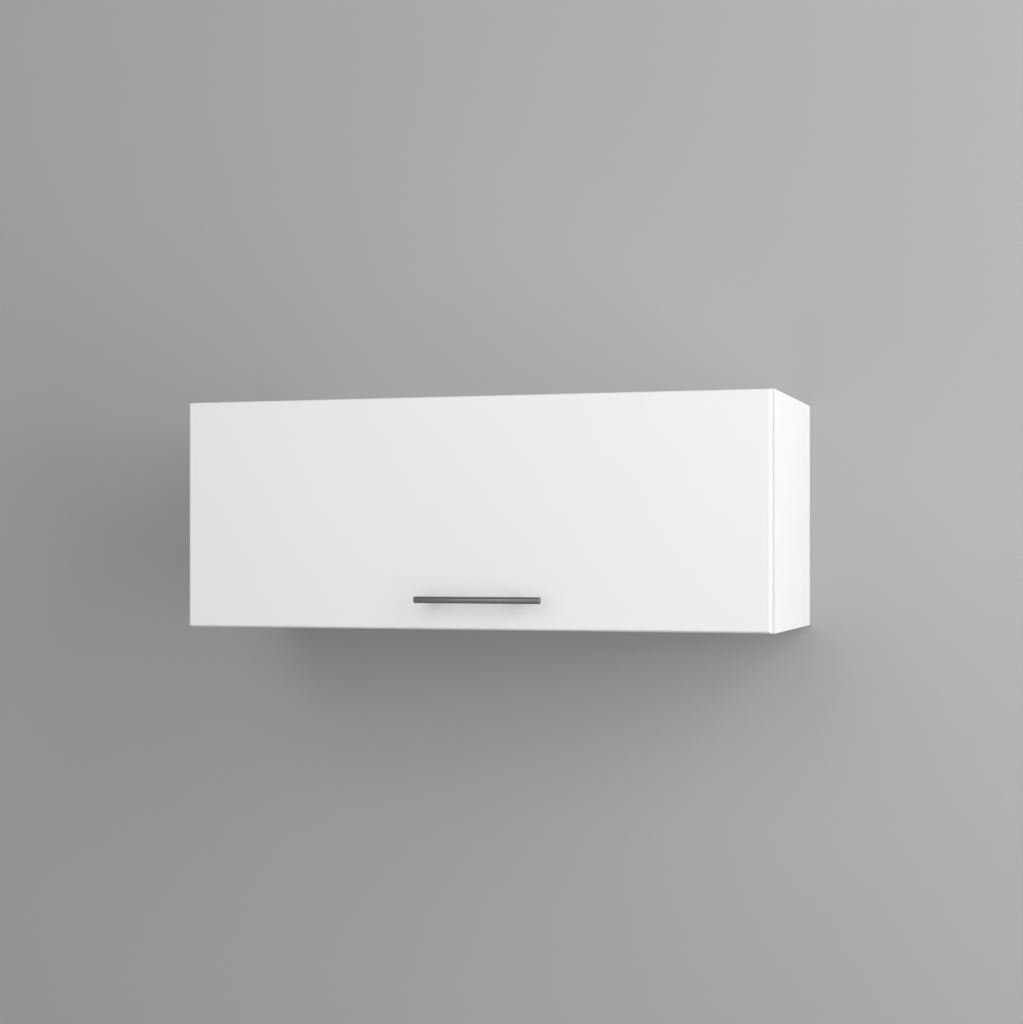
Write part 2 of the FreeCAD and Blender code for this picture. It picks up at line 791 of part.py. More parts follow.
def stay_fork():
    """Die-cast fork that straddles the brake hub and plugs the upper end of the tube."""
    reach = fork_half_width()
    slot_floor = stay_hub_radius + fork_slot_play
    half_slot = stay_hub_thickness / 2 + part_play
    bore_radius = brake_shoe_radius + screw_play
    plug_end = stay_tube_start + stay_plug_length
    plug_radius = stay_tube_radius - stay_tube_wall - screw_play
    flat_reach = stay_tube_radius * side_flat
    fork = joined([
        peg(stay_tube_radius, point(-reach, 0, 0), point(reach, 0, 0), fitting_sides),
        block(-reach, reach, -flat_reach, flat_reach, -stay_tube_start, 0),
        peg(plug_radius, down(stay_tube_start), down(plug_end), fitting_sides),
    ])
    slot = block(-half_slot, half_slot, -stay_hub_radius, stay_hub_radius, -slot_floor, stay_hub_radius)
    pin_bore = bar(stay_pin_radius + pivot_play, point(-reach, 0, 0), point(reach, 0, 0))
    shoe_start = down(stay_hub_radius - brake_shoe_radius / 2)
    shoe_bore = peg(bore_radius, shoe_start, down(plug_end), fitting_sides)
    return on_stay(fork.cut([slot, pin_bore, shoe_bore]))


def brake_collar_start():
    """Distance from the upper pivot to the collar of the brake shoe."""
    return stay_tube_start + stay_plug_length + part_play


def brake_shoe():
    """Moulded shoe that the spring presses on the round hub."""
    collar_start = brake_collar_start()
    tip = down(stay_hub_radius - brake_shoe_radius / 4)
    shoe = joined([
        peg(brake_shoe_radius, tip, down(collar_start), fitting_sides),
        peg(brake_collar_radius, down(collar_start), down(collar_start + brake_collar_length),
            fitting_sides),
    ])
    hub = bar(stay_hub_radius + pivot_play, point(-stay_tube_radius, 0, 0),
              point(stay_tube_radius, 0, 0))
    return on_stay(shoe.cut(hub))


def foot_plug_start():
    """Distance from the upper pivot to the plug of the foot inside the tube."""
    return stay_length - stay_tube_tail - stay_plug_length


def stay_spring():
    """Square-wire compression spring between the collar of the shoe and the plug of the foot."""
    half_wire = spring_wire / 2
    start = brake_collar_start() + brake_collar_length + half_wire + part_play / 2
    travel = foot_plug_start() - part_play / 2 - half_wire - start
    steps = spring_turn_count * spring_turn_sides
    sections = []
    for step in range(steps + 1):
        angle = 2 * math.pi * step / spring_turn_sides
        depth = start + travel * step / steps
        section = []
        for across, along in ((-1, -1), (1, -1), (1, 1), (-1, 1)):
            radius = spring_coil_radius + across * half_wire
            section.append(point(radius * math.cos(angle), radius * math.sin(angle),
                                 -depth - along * half_wire))
        sections.append(section)
    outlines = [sections[0][::-1], sections[-1]]
    for near, far in zip(sections, sections[1:]):
        for side in range(len(near)):
            following = (side + 1) % len(near)
            outlines.append([near[side], near[following], far[following]])
            outlines.append([near[side], far[following], far[side]])
    return on_stay(closed_solid(outlines))


def stay_tube():
    """Steel tube that houses the spring."""
    end = stay_length - stay_tube_tail
    inside = peg(stay_tube_radius - stay_tube_wall, down(stay_tube_start), down(end), fitting_sides)
    return on_stay(bar(stay_tube_radius, down(stay_tube_start), down(end)).cut(inside))


def stay_foot():
    """Die-cast foot that plugs the lower end of the tube and carries the knee pin."""
    tube_end = stay_length - stay_tube_tail
    boss_reach = foot_half_thickness + foot_boss_height
    plug_radius = stay_tube_radius - stay_tube_wall - screw_play
    flat_reach = stay_tube_radius * side_flat
    foot = joined([
        peg(plug_radius, down(foot_plug_start()), down(tube_end), fitting_sides),
        block(-foot_half_thickness, foot_half_thickness, -flat_reach, flat_reach,
              -stay_length, -tube_end),
        peg(stay_tube_radius, point(-foot_half_thickness, 0, -stay_length),
            point(foot_half_thickness, 0, -stay_length), fitting_sides),
        peg(foot_boss_radius, point(-boss_reach, 0, -stay_length), point(0, 0, -stay_length),
            fitting_sides),
    ])
    bore = fixed_bore(stay_pin_radius, point(-boss_reach, 0, -stay_length),
                      point(foot_half_thickness, 0, -stay_length))
    return on_stay(foot.cut(bore))


def lever_outer_x():
    """Face of the lever that lies against the foot and the ear."""
    return stay_x - foot_half_thickness - foot_boss_height - part_play


def knee_pin():
    """Pin through the foot and the lever."""
    inner_reach = stay_x - lever_outer_x() + lever_steel + part_play / 2
    return headed_pin(point(stay_x, knee_y, knee_z), inner_reach, foot_half_thickness)


def stay_lever():
    """Flat lever from the knee to the bracket on the front."""
    outer = lever_outer_x()
    knee = point(outer, knee_y, knee_z)
    door_end = point(outer, stay_door_y, stay_door_z)
    thickness = -along_x * lever_steel
    along = (door_end - knee).normalize() * lever_half_width
    across = along_x.cross(along)
    outline = []
    for centre, turn in ((door_end, 0), (knee, 180)):
        for corner in range(fitting_sides // 2 + 1):
            angle = math.radians(turn - 90 + 360 * corner / fitting_sides)
            outline.append(centre + along * math.cos(angle) + across * math.sin(angle))
    lever = Part.Face(Part.makePolygon(outline + outline[:1])).extrude(thickness)
    bore_radius = stay_pin_radius + pivot_play
    return lever.cut([bar(bore_radius, knee, knee + thickness),
                      bar(bore_radius, door_end, door_end + thickness)])


def stay_door_bracket():
    """Angle bracket on the inner face of the front, with an ear for the lever."""
    outer = door_bracket_outer_x()
    inner = outer - door_bracket_width
    ear_inner = outer - door_bracket_ear
    half_ear = door_bracket_ear_radius * side_flat
    centre = point(ear_inner, stay_door_y, stay_door_z)
    base = block(inner, outer, front_back_face, front_back_face + door_bracket_steel,
                 stay_door_z - door_bracket_height / 2, stay_door_z + door_bracket_height / 2)
    base = clipped_corners(base, door_bracket_corner,
                           lambda a, b: same(a.x, b.x) and same(a.z, b.z))
    ear = joined([
        peg(door_bracket_ear_radius, centre, centre + along_x * door_bracket_ear, fitting_sides),
        block(ear_inner, outer, front_back_face, stay_door_y,
              stay_door_z - half_ear, stay_door_z + half_ear),
    ])
    cuts = [fixed_bore(stay_pin_radius, centre, centre + along_x * door_bracket_ear)]
    for head in door_bracket_screw_points():
        cuts.append(wood_screw(head, -along_y, screw_play))
    return joined([base, ear]).cut(cuts)


def stay_door_pin():
    """Pin through the ear and the lever."""
    outer = door_bracket_outer_x()
    inner_reach = outer - lever_outer_x() + lever_steel + part_play / 2
    return headed_pin(point(outer, stay_door_y, stay_door_z), inner_reach, 0)


# Lift-up front and handle -------------------------------------------------------------------

def post_places():
    """X of the two handle posts."""
    return [handle_offset - post_pitch / 2, handle_offset + post_pitch / 2]


def door_panel():
    """Front panel, rounded all round its face, bored for cups, screws and handle."""
    panel = block(-front_half_width, front_half_width, front_face, front_back_face,
                  front_bottom, front_top)
    panel = rounded_edges(panel, front_face_round,
                          lambda a, b: same(a.y, front_face) and same(b.y, front_face))
    panel = rounded_edges(panel, front_back_round,
                          lambda a, b: same(a.y, front_back_face) and same(b.y, front_back_face))
    cuts = corner_pair(cup_bore())
    for head in cup_screw_points() + door_bracket_screw_points():
        cuts += corner_pair(wood_screw(head, -along_y, screw_play))
    for x in post_places():
        cuts.append(peg(handle_screw_hole_radius, point(x, front_face, handle_z),
                        point(x, front_back_face, handle_z), screw_sides))
    return panel.cut(cuts)


def handle_bar():
    """Round bar with chamfered ends."""
    tip = handle_radius - handle_chamfer
    start = point(handle_offset - handle_length / 2, handle_y, handle_z)
    return turned(start, along_x, [
        (tip, handle_radius, handle_chamfer),
        (handle_radius, handle_radius, handle_length - 2 * handle_chamfer),
        (handle_radius, tip, handle_chamfer),
    ])


def handle_post(x):
    """Post from the front to the bar, hollowed to sit against the bar, tapped for its screw."""
    post = peg(post_radius, point(x, handle_y, handle_z), point(x, front_face, handle_z), cup_sides)
    saddle = bar(handle_radius + pivot_play, point(x - handle_radius, handle_y, handle_z),
                 point(x + handle_radius, handle_y, handle_z))
    screw_hole = peg(handle_screw_radius + screw_play, point(x, front_face, handle_z),
                     point(x, front_face - handle_screw_depth, handle_z), screw_sides)
    return post.cut([saddle, screw_hole])


def handle_screw(x):
    """Machine screw from the inside of the front into a post."""
    shank = front_board + handle_screw_depth - part_play
    head = handle_screw_head_radius
    return faceted(point(x, front_back_face + handle_screw_head_height, handle_z), -along_y, [
        (head - handle_screw_head_height / 2, head, handle_screw_head_height),
        (handle_screw_radius, handle_screw_radius, shank),
    ], screw_sides)


def door_bumper():
    """Clear domed bumper that meets the front edge of the right-hand side panel."""
    thickness = front_gap - part_play
    place = point(half_width - board / 2, front_back_face, front_bottom + bumper_from_bottom)
    return faceted(place, along_y, [
        (bumper_radius, bumper_radius, thickness - bumper_dome),
        (bumper_radius, bumper_radius - bumper_dome, bumper_dome),
    ], fitting_sides)


# Writing the pieces -------------------------------------------------------------------------

def save(node, shapes):
    """Write the solids of one node to its own file."""
    solids = [solid for shape in shapes for solid in shape.Solids]
    shape = solids[0] if len(solids) == 1 else Part.makeCompound(solids)
    shape.exportStep(os.path.join("parts", node + ".step"))


def save_pair(node, shape):
    """Write a right-hand piece and its left-hand copy as two nodes."""
    save(node + "_right", [shape])
    save(node + "_left", [mirrored(shape)])


os.makedirs("parts", exist_ok=True)

cams, bolts, dowels, caps = joint_fittings()
save_pair("side_panel", side_panel())
save("top_panel", [top_panel()])
save("bottom_panel", [cross_panel(bottom_face_z, -panel_middle)])
save("back_panel", [back_panel()])
save("carcass_edge_bands", edge_bands())
save("cam_locks", cams)
save("cam_bolts", bolts)
save("carcass_dowels", dowels)
save("cam_cover_caps", caps)

save_pair("hanging_bracket", hanging_bracket())
hanger_screws = [wood_screw(head, along_x) for head in hanger_screw_points()]
save("hanging_bracket_screws", hanger_screws + [mirrored(screw) for screw in hanger_screws])

save_pair("hinge_plate", hinge_plate())
plate_screws = [wood_screw(head, along_z) for head in hinge_plate_screw_points()]
save("hinge_plate_screws", plate_screws + [mirrored(screw) for screw in plate_screws])
save_pair("hinge_arm", hinge_arm())
arm_screws = hinge_arm_screws()
save("hinge_arm_screws", arm_screws + [mirrored(screw) for screw in arm_screws])
save_pair("hinge_cup", hinge_cup())
cup_screws = [wood_screw(head, -along_y) for head in cup_screw_points()]
save("hinge_cup_screws", cup_screws + [mirrored(screw) for screw in cup_screws])
save("hinge_pins", corner_pair(hinge_pin()))

save_pair("stay_cabinet_bracket", stay_cabinet_bracket())
bracket_screws = [wood_screw(head, along_x) for head in stay_bracket_screw_points()]
save("stay_cabinet_bracket_screws", bracket_screws + [mirrored(screw) for screw in bracket_screws])
save("stay_cabinet_pins", corner_pair(stay_cabinet_pin()))
save_pair("stay_fork", stay_fork())
save_pair("stay_brake_shoe", brake_shoe())
save_pair("stay_spring", stay_spring())
save_pair("stay_tube", stay_tube())
save_pair("stay_foot", stay_foot())
save_pair("stay_knee_pin", knee_pin())
save_pair("stay_lever", stay_lever())
save_pair("stay_door_bracket", stay_door_bracket())
lever_screws = [wood_screw(head, -along_y) for head in door_bracket_screw_points()]
save("stay_door_bracket_screws", lever_screws + [mirrored(screw) for screw in lever_screws])
save("stay_door_pins", corner_pair(stay_door_pin()))

save("door_panel", [door_panel()])
save("handle_bar", [handle_bar()])
save("handle_posts", [handle_post(x) for x in post_places()])
save("handle_screws", [handle_screw(x) for x in post_places()])
save("door_bumpers", corner_pair(door_bumper()))
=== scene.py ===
import bmesh
import bpy
import json
import math
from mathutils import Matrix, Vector


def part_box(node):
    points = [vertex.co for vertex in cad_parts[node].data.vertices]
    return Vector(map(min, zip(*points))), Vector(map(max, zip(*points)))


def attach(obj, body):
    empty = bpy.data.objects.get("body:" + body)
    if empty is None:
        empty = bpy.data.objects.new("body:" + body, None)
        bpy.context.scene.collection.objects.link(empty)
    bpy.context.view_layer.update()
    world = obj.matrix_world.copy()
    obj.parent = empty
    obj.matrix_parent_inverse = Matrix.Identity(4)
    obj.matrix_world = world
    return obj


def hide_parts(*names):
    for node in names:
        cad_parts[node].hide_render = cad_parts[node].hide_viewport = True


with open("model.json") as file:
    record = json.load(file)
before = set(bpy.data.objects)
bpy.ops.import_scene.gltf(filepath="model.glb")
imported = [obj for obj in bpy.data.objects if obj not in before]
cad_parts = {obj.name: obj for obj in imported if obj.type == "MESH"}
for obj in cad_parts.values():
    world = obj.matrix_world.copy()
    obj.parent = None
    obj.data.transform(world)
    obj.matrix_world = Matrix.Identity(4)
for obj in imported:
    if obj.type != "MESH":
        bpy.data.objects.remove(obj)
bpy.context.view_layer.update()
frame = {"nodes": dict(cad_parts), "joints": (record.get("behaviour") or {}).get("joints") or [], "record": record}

# Side panels -------------------------------------------------------------------------------
# Two boards of 16 mm chipboard faced with white melamine, sawn to size. Their faces have the
# fine pearl texture of the press plate; the sawn top and rear edges show the raw chips. The
# rear edges lie on the wall, and cams and dowels join the boards to the top and bottom.


class Wiring:
    """Nodes put into a tree and fed with values or with other nodes' outputs."""

    def node(self, kind, settings=(), **inputs):
        """A node of that kind. Settings are its properties; inputs go by name, or as _0 by number.

        An input takes a value, an output of another node, or a list of outputs.
        """
        made = self.tree.nodes.new(kind)
        for name, value in dict(settings).items():
            setattr(made, name, value)
        for name, value in inputs.items():
            key = int(name[1:]) if name[0] == "_" else name.replace("_", " ")
            for one in value if isinstance(value, list) else [value]:
                self.feed(made.inputs[key], one)
        return made

    def feed(self, socket, value):
        """A number or colour is set on the socket; an output is linked to it."""
        if isinstance(value, bpy.types.NodeSocket):
            self.tree.links.new(value, socket)
        else:
            socket.default_value = value

    def math(self, operation, a, b=0.0):
        """One arithmetic step."""
        return self.node("ShaderNodeMath", {"operation": operation}, _0=a, _1=b).outputs[0]


class Finish(Wiring):
    """A material whose Principled shader is fed by textures on the piece's own coordinates."""

    def __init__(self, name, roughness, metallic=0.0, **plain):
        self.material = bpy.data.materials.new(name)
        self.material.use_nodes = True
        self.tree = self.material.node_tree
        self.shader = self.tree.nodes["Principled BSDF"]
        self.shader.inputs["Roughness"].default_value = roughness
        self.shader.inputs["Metallic"].default_value = metallic
        for socket, value in plain.items():
            self.shader.inputs[socket.replace("_", " ")].default_value = value
        self.place = self.tree.nodes.new("ShaderNodeTexCoord").outputs["Object"]

    def axis(self, letter):
        """X, Y or Z of the place on the piece, in metres."""
        return self.node("ShaderNodeSeparateXYZ", _0=self.place).outputs[letter]

    def noise(self, per_metre, detail=3.0, stretch=(1, 1, 1)):
        """Cloudy noise from 0 to 1 with that many features in a metre."""
        scaled = self.node("ShaderNodeMapping", Vector=self.place, Scale=stretch)
        return self.node("ShaderNodeTexNoise", Vector=scaled.outputs[0], Scale=per_metre,
                         Detail=detail).outputs["Fac"]

    def cells(self, per_metre, output="Distance", stretch=(1, 1, 1)):
        """Voronoi cells: the distance to the nearest centre, or a colour for each cell."""
        scaled = self.node("ShaderNodeMapping", Vector=self.place, Scale=stretch)
        return self.node("ShaderNodeTexVoronoi", Vector=scaled.outputs[0],
                         Scale=per_metre).outputs[output]

    def ramp(self, value, *stops):
        """Colours along a value: each stop is a position and a colour."""
        made = self.node("ShaderNodeValToRGB", Fac=value)
        elements = made.color_ramp.elements
        while len(elements) < len(stops):
            elements.new(0.5)
        for element, (position, colour) in zip(elements, stops):
            element.position = position
            element.color = (*colour, 1.0)
        return made.outputs["Color"]

    def between(self, value, low, high, to_low=0.0, to_high=1.0):
        """A value moved from one range to another and held inside it."""
        return self.node("ShaderNodeMapRange", Value=value, From_Min=low, From_Max=high,
                         To_Min=to_low, To_Max=to_high).outputs["Result"]

    def mix(self, share, first, second):
        """Two colours mixed by a share."""
        made = self.node("ShaderNodeMix", {"data_type": "RGBA"}, Factor=share)
        for socket, value in ((made.inputs[6], first), (made.inputs[7], second)):
            self.feed(socket, value if isinstance(value, bpy.types.NodeSocket) else (*value, 1.0))
        return made.outputs[2]

    def colour(self, value):
        """The colour of the surface."""
        self.feed(self.shader.inputs["Base Color"], value)
        return self

    def rough(self, value):
        """How rough the surface is, from 0 to 1."""
        self.feed(self.shader.inputs["Roughness"], value)
        return self

    def bumps(self, *layers):
        """Relief from height layers, each an output and its height in metres."""
        under = None
        for height, metres in layers:
            bump = self.node("ShaderNodeBump", Height=height, Distance=metres, Strength=1.0)
            if under:
                self.feed(bump.inputs["Normal"], under)
            under = bump.outputs["Normal"]
        self.feed(self.shader.inputs["Normal"], under)
        return self


def dress(finish, *nodes):
    """Give a finish to CAD nodes whose shape stays."""
    for node in nodes:
        frame["nodes"][node].material_slots[0].material = finish.material


MELAMINE_WHITE = (0.842, 0.842, 0.84)
CHIP_COLOURS = ((0.0, (0.30, 0.20, 0.11)), (0.35, (0.52, 0.38, 0.23)), (0.7, (0.68, 0.54, 0.36)),
                (1.0, (0.80, 0.68, 0.50)))


def melamine_finish(name, sawn_from_z, sawn_from_y):
    """Melamine on the faces, and raw chips on the edges sawn above one place or behind another."""
    finish = Finish(name, 0.52, Specular_IOR_Level=0.25)
    chips = finish.ramp(finish.cells(520, "Color", (1, 1, 2.2)), *CHIP_COLOURS)
    dusty = finish.mix(finish.noise(900, 2), chips, (0.74, 0.62, 0.44))
    above = finish.math("GREATER_THAN", finish.axis("Z"), sawn_from_z)
    behind = finish.math("GREATER_THAN", finish.axis("Y"), sawn_from_y)
    sawn = finish.math("MAXIMUM", above, behind)
    cloud = finish.noise(4, 2)
    faced = finish.mix(cloud, MELAMINE_WHITE, tuple(0.985 * c for c in MELAMINE_WHITE))
    finish.colour(finish.mix(sawn, faced, dusty))
    pearl = finish.noise(1500, 2)
    finish.rough(finish.math("ADD", finish.between(pearl, 0.3, 0.7, 0.50, 0.58),
                             finish.math("MULTIPLY", sawn, 0.4)))
    return finish.bumps((pearl, 0.00001), (finish.noise(35, 1), 0.00003),
                        (finish.math("MULTIPLY", sawn, finish.cells(520)), 0.0004))


board_edge = 0.00005
side_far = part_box("side_panel_right")[1]
side_finish = melamine_finish("melamine_sides", side_far.z - board_edge, side_far.y - board_edge)
dress(side_finish, "side_panel_left", "side_panel_right")

# Top and bottom panels ---------------------------------------------------------------------
# The same melamine board, cut to fit between the sides. The rear edge is sawn and hidden by
# the back panel; the cams are let into the upper face.

panel_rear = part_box("top_panel")[1].y
above_all_boards = 1.0
panel_finish = melamine_finish("melamine_panels", above_all_boards, panel_rear - board_edge)
dress(panel_finish, "top_panel", "bottom_panel")

# Edge banding --------------------------------------------------------------------------------
# 0.8 mm white ABS strip, glued with hot melt to the front edges of the boards and to the
# lower edges of the sides, then scraped flush. The strip is smoother than the board's face.

EDGE_WHITE = (0.85, 0.85, 0.845)
HOT_MELT = (0.74, 0.715, 0.66)
band_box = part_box("carcass_edge_bands")
band_thickness = 0.0008
glue_line = 0.00012
band_finish = Finish("edge_banding", 0.36, Specular_IOR_Level=0.5)
scrape = band_finish.noise(900, 2, (0.05, 1, 0.05))
strip = band_finish.mix(band_finish.noise(7, 2), EDGE_WHITE, tuple(0.982 * c for c in EDGE_WHITE))
inner_face = band_box[0].y + band_thickness - glue_line
upper_face = band_box[0].z + band_thickness - glue_line
near_board = band_finish.math("MULTIPLY",
                              band_finish.math("GREATER_THAN", band_finish.axis("Y"), inner_face),
                              band_finish.math("GREATER_THAN", band_finish.axis("Z"), upper_face))
band_finish.colour(band_finish.mix(near_board, strip, HOT_MELT))
band_finish.rough(band_finish.between(scrape, 0.3, 0.7, 0.32, 0.42))
band_finish.bumps((scrape, 0.000006), (band_finish.noise(60, 1), 0.00002))
dress(band_finish, "carcass_edge_bands")

# Back panel ----------------------------------------------------------------------------------
# 3 mm hardboard lying in the rebate of the sides and on the edges of the top and bottom. It is
# lacquered white on the inside and raw brown fibre behind, with a rough pressed screen mark.
# Small nails with flat round heads hold it every 110 mm all round.

back_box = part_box("back_panel")
lacquer_depth = 0.0004
back_finish = Finish("hardboard", 0.6)
behind = back_finish.math("GREATER_THAN", back_finish.axis("Y"), back_box[0].y + lacquer_depth)
fibres = back_finish.noise(260, 5, (1, 1, 2.5))
brown = back_finish.ramp(fibres, (0.25, (0.23, 0.135, 0.07)), (0.5, (0.33, 0.205, 0.115)),
                         (0.75, (0.43, 0.285, 0.17)))
lacquer = back_finish.mix(back_finish.noise(6, 2), (0.82, 0.82, 0.805), (0.80, 0.80, 0.785))
back_finish.colour(back_finish.mix(behind, lacquer, brown))
back_finish.rough(back_finish.math("ADD", 0.45, back_finish.math("MULTIPLY", behind, 0.4)))
wires = [back_finish.node("ShaderNodeTexWave", {"bands_direction": letter}, Scale=380,
                          Vector=back_finish.place).outputs["Fac"] for letter in "XZ"]
screen = back_finish.math("MULTIPLY", *wires)
back_finish.bumps((back_finish.math("MULTIPLY", behind, screen), 0.00012),
                  (back_finish.math("MULTIPLY", behind, fibres), 0.0002))


class NodeTree(Wiring):
    """A Geometry Nodes tree under construction, with named inputs for its sizes."""

    def __init__(self, name):
        self.tree = bpy.data.node_groups.new(name, "GeometryNodeTree")
        for way in ("INPUT", "OUTPUT"):
            self.tree.interface.new_socket("Geometry", in_out=way, socket_type="NodeSocketGeometry")
        self.entry = self.tree.nodes.new("NodeGroupInput")
        self.exit = self.tree.nodes.new("NodeGroupOutput")
        self.keys = {}

    def size(self, name):
        """A named input of the tree."""
        socket = self.tree.interface.new_socket(name, in_out="INPUT", socket_type="NodeSocketFloat")
        self.keys[name] = socket.identifier
        return self.entry.outputs[name]

    def point(self, x=0.0, y=0.0, z=0.0):
        """A vector from three values or outputs."""
        return self.node("ShaderNodeCombineXYZ", _0=x, _1=y, _2=z).outputs[0]

    def moved(self, geometry, place=None, turn=(0, 0, 0)):
        """Geometry turned and then moved."""
        place = place or self.point()
        return self.node("GeometryNodeTransform", Geometry=geometry, Translation=place,
                         Rotation=turn).outputs[0]

    def cut(self, geometry, tools):
        """Geometry with the tools taken out of it."""
        return self.node("GeometryNodeMeshBoolean", {"operation": "DIFFERENCE", "solver": "EXACT"},
                         _0=geometry, _1=tools).outputs[0]

    def finished(self, geometry, material):
        """Make the instances real, give them their material and end the tree."""
        real = self.node("GeometryNodeRealizeInstances", Geometry=geometry).outputs[0]
        smooth = self.node("GeometryNodeSetShadeSmooth", Geometry=real).outputs[0]
        ended = self.node("GeometryNodeSetMaterial", Geometry=smooth, Material=material).outputs[0]
        self.feed(self.exit.inputs[0], ended)

    def grow(self, name, start, body, slot, replaced=(), **sizes):
        """Run the tree on a start mesh and keep the result as a plain mesh that rides on a body."""
        carrier = bpy.data.objects.new(name, start)
        bpy.context.scene.collection.objects.link(carrier)
        modifier = carrier.modifiers.new("grow", "NODES")
        modifier.node_group = self.tree
        for size_name, value in sizes.items():
            modifier[self.keys[size_name.replace("_", " ")]] = value
        bpy.context.view_layer.update()
        made = bpy.data.meshes.new_from_object(
            carrier.evaluated_get(bpy.context.evaluated_depsgraph_get()))
        carrier.modifiers.clear()
        carrier.data = made
        made.set_sharp_from_angle(angle=math.radians(35))
        return settle(carrier, body, replaced)


def settle(piece, body, replaced=()):
    """Let a finished piece ride on its body, for the CAD nodes it stands for."""
    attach(piece, body)
    if replaced:
        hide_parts(*replaced)
    return piece


def plated_finish(name, colour, warm, roughness):
    """Bright plating over pressed or turned steel: soft mottling and fine rolling lines."""
    finish = Finish(name, roughness, 1.0)
    mottled = finish.noise(90, 3)
    lines = finish.noise(700, 2, (0.08, 1, 1))
    finish.colour(finish.mix(finish.between(mottled, 0.35, 0.65), colour, warm))
    spots = finish.between(mottled, 0.3, 0.7, roughness - 0.04, roughness + 0.04)
    finish.rough(finish.math("ADD", spots, finish.math("MULTIPLY", lines, 0.05)))
    return finish.bumps((lines, 0.0000025), (finish.noise(180, 1), 0.000002))


zinc_plate = plated_finish("zinc_plating", (0.66, 0.68, 0.70), (0.60, 0.61, 0.62), 0.34)


def along_panel_edge(tree, piece):
    """A piece put at each nail's place round the panel, facing out of its rear."""
    pitch = tree.size("Pitch")
    width = tree.size("Width")
    height = tree.size("Height")
    rear = tree.size("Rear")
    outline = tree.node("GeometryNodeCurvePrimitiveQuadrilateral", Width=width,
                        Height=height).outputs[0]
    upright = tree.moved(outline, tree.point(y=rear), (math.pi / 2, 0, 0))
    stops = tree.node("GeometryNodeResampleCurve", {"mode": "LENGTH"}, Curve=upright,
                      Length=pitch).outputs[0]
    facing = tree.moved(piece, turn=(-math.pi / 2, 0, 0))
    return tree.node("GeometryNodeInstanceOnPoints", Points=stops, Instance=facing).outputs[0]


def merged_copy(node):
    """A CAD node's mesh with its corners joined and its flat faces whole."""
    shape = bmesh.new()
    shape.from_mesh(frame["nodes"][node].data)
    bmesh.ops.remove_doubles(shape, verts=shape.verts, dist=1e-6)
    bmesh.ops.dissolve_limit(shape, angle_limit=math.radians(1), verts=shape.verts,
                             edges=shape.edges)
    return shape


def plain_mesh(name, shape):
    """A mesh from finished bmesh work, without the normals that a CAD node carries."""
    mesh = bpy.data.meshes.new(name)
    shape.to_mesh(mesh)
    shape.free()
    if "custom_normal" in mesh.attributes:
        mesh.attributes.remove(mesh.attributes["custom_normal"])
    return mesh


nail_inset = 0.005
nail_head = 0.0019
nail_sink = 0.00006
dimple_reach = 1.12 * nail_head
nail_line = dict(Pitch=0.11, Width=2 * (back_box[1].x - nail_inset),
                 Height=2 * (back_box[1].z - nail_inset))

# Each nail is driven just under the face, and its head presses a shallow dimple in the board.
dimple_tree = NodeTree("nail_dimples")
dimple_radius = dimple_tree.size("Radius")
dimple_depth = dimple_tree.size("Depth")
dimple = dimple_tree.node("GeometryNodeMeshCylinder", Vertices=16, Radius=dimple_radius,
                          Depth=dimple_tree.math("MULTIPLY", dimple_depth, 2.0)).outputs[0]
dimples = dimple_tree.node("GeometryNodeRealizeInstances",
                           Geometry=along_panel_edge(dimple_tree, dimple)).outputs[0]
dimpled = dimple_tree.cut(dimple_tree.entry.outputs[0], dimples)
dimple_tree.finished(dimpled, back_finish.material)
dimple_tree.grow("fine_back_panel", plain_mesh("panel", merged_copy("back_panel")), "root",
                 "white_hardboard", ["back_panel"], Radius=dimple_reach, Depth=0.0006,
                 Rear=back_box[1].y, **nail_line)

nail_tree = NodeTree("back_panel_nails")
head_radius = nail_tree.size("Head Radius")
head_thickness = nail_tree.size("Head Height")
nail_length = nail_tree.size("Length")
nail_cap = nail_tree.node("GeometryNodeMeshCone", Vertices=16, Radius_Bottom=head_radius,
                          Radius_Top=nail_tree.math("MULTIPLY", head_radius, 0.7),
                          Depth=head_thickness).outputs[0]
nail_shank = nail_tree.node("GeometryNodeMeshCylinder", Vertices=8, Depth=nail_length,
                            Radius=nail_tree.math("MULTIPLY", head_radius, 0.4)).outputs[0]
nail_under = nail_tree.math("MULTIPLY", head_thickness, -1.0)
nail_middle = nail_tree.math("SUBTRACT", nail_under, nail_tree.math("MULTIPLY", nail_length, 0.5))
nail_whole = nail_tree.node("GeometryNodeJoinGeometry", Geometry=[
    nail_tree.moved(nail_cap, nail_tree.point(z=nail_under)),
    nail_tree.moved(nail_shank, nail_tree.point(z=nail_middle)),
]).outputs[0]
nail_tree.finished(along_panel_edge(nail_tree, nail_whole), zinc_plate.material)
nail_tree.grow("back_panel_nails", bpy.data.meshes.new("nails"), "root", "plated_steel",
               Head_Radius=nail_head, Head_Height=0.0005, Length=0.014,
               Rear=back_box[1].y - nail_sink, **nail_line)

# Cams, bolts, dowels and cover caps ----------------------------------------------------------
# Die-cast zinc cams let into the top and bottom panels, each turned onto the head of a plated
# bolt from the side panel. Fluted beech dowels line the boards up. The four cams that show
# inside the cabinet are hidden by white caps pressed into their slots.


def solids_of(node):
    """The corner points of each separate solid of a CAD node, in the same order at each run."""
    joined = merged_copy(node)
    unseen = dict.fromkeys(joined.verts)
    solids = []
    while unseen:
        reached = [unseen.popitem()[0]]
        for vertex in reached:
            for edge in vertex.link_edges:
                other = edge.other_vert(vertex)
                if other in unseen:
                    del unseen[other]
                    reached.append(other)
        solids.append([vertex.co.copy() for vertex in reached])
    joined.free()
    return solids


def span(points):
    """Lowest and highest corner of some points."""
    low = Vector([min(p[i] for p in points) for i in range(3)])
    high = Vector([max(p[i] for p in points) for i in range(3)])
    return low, high


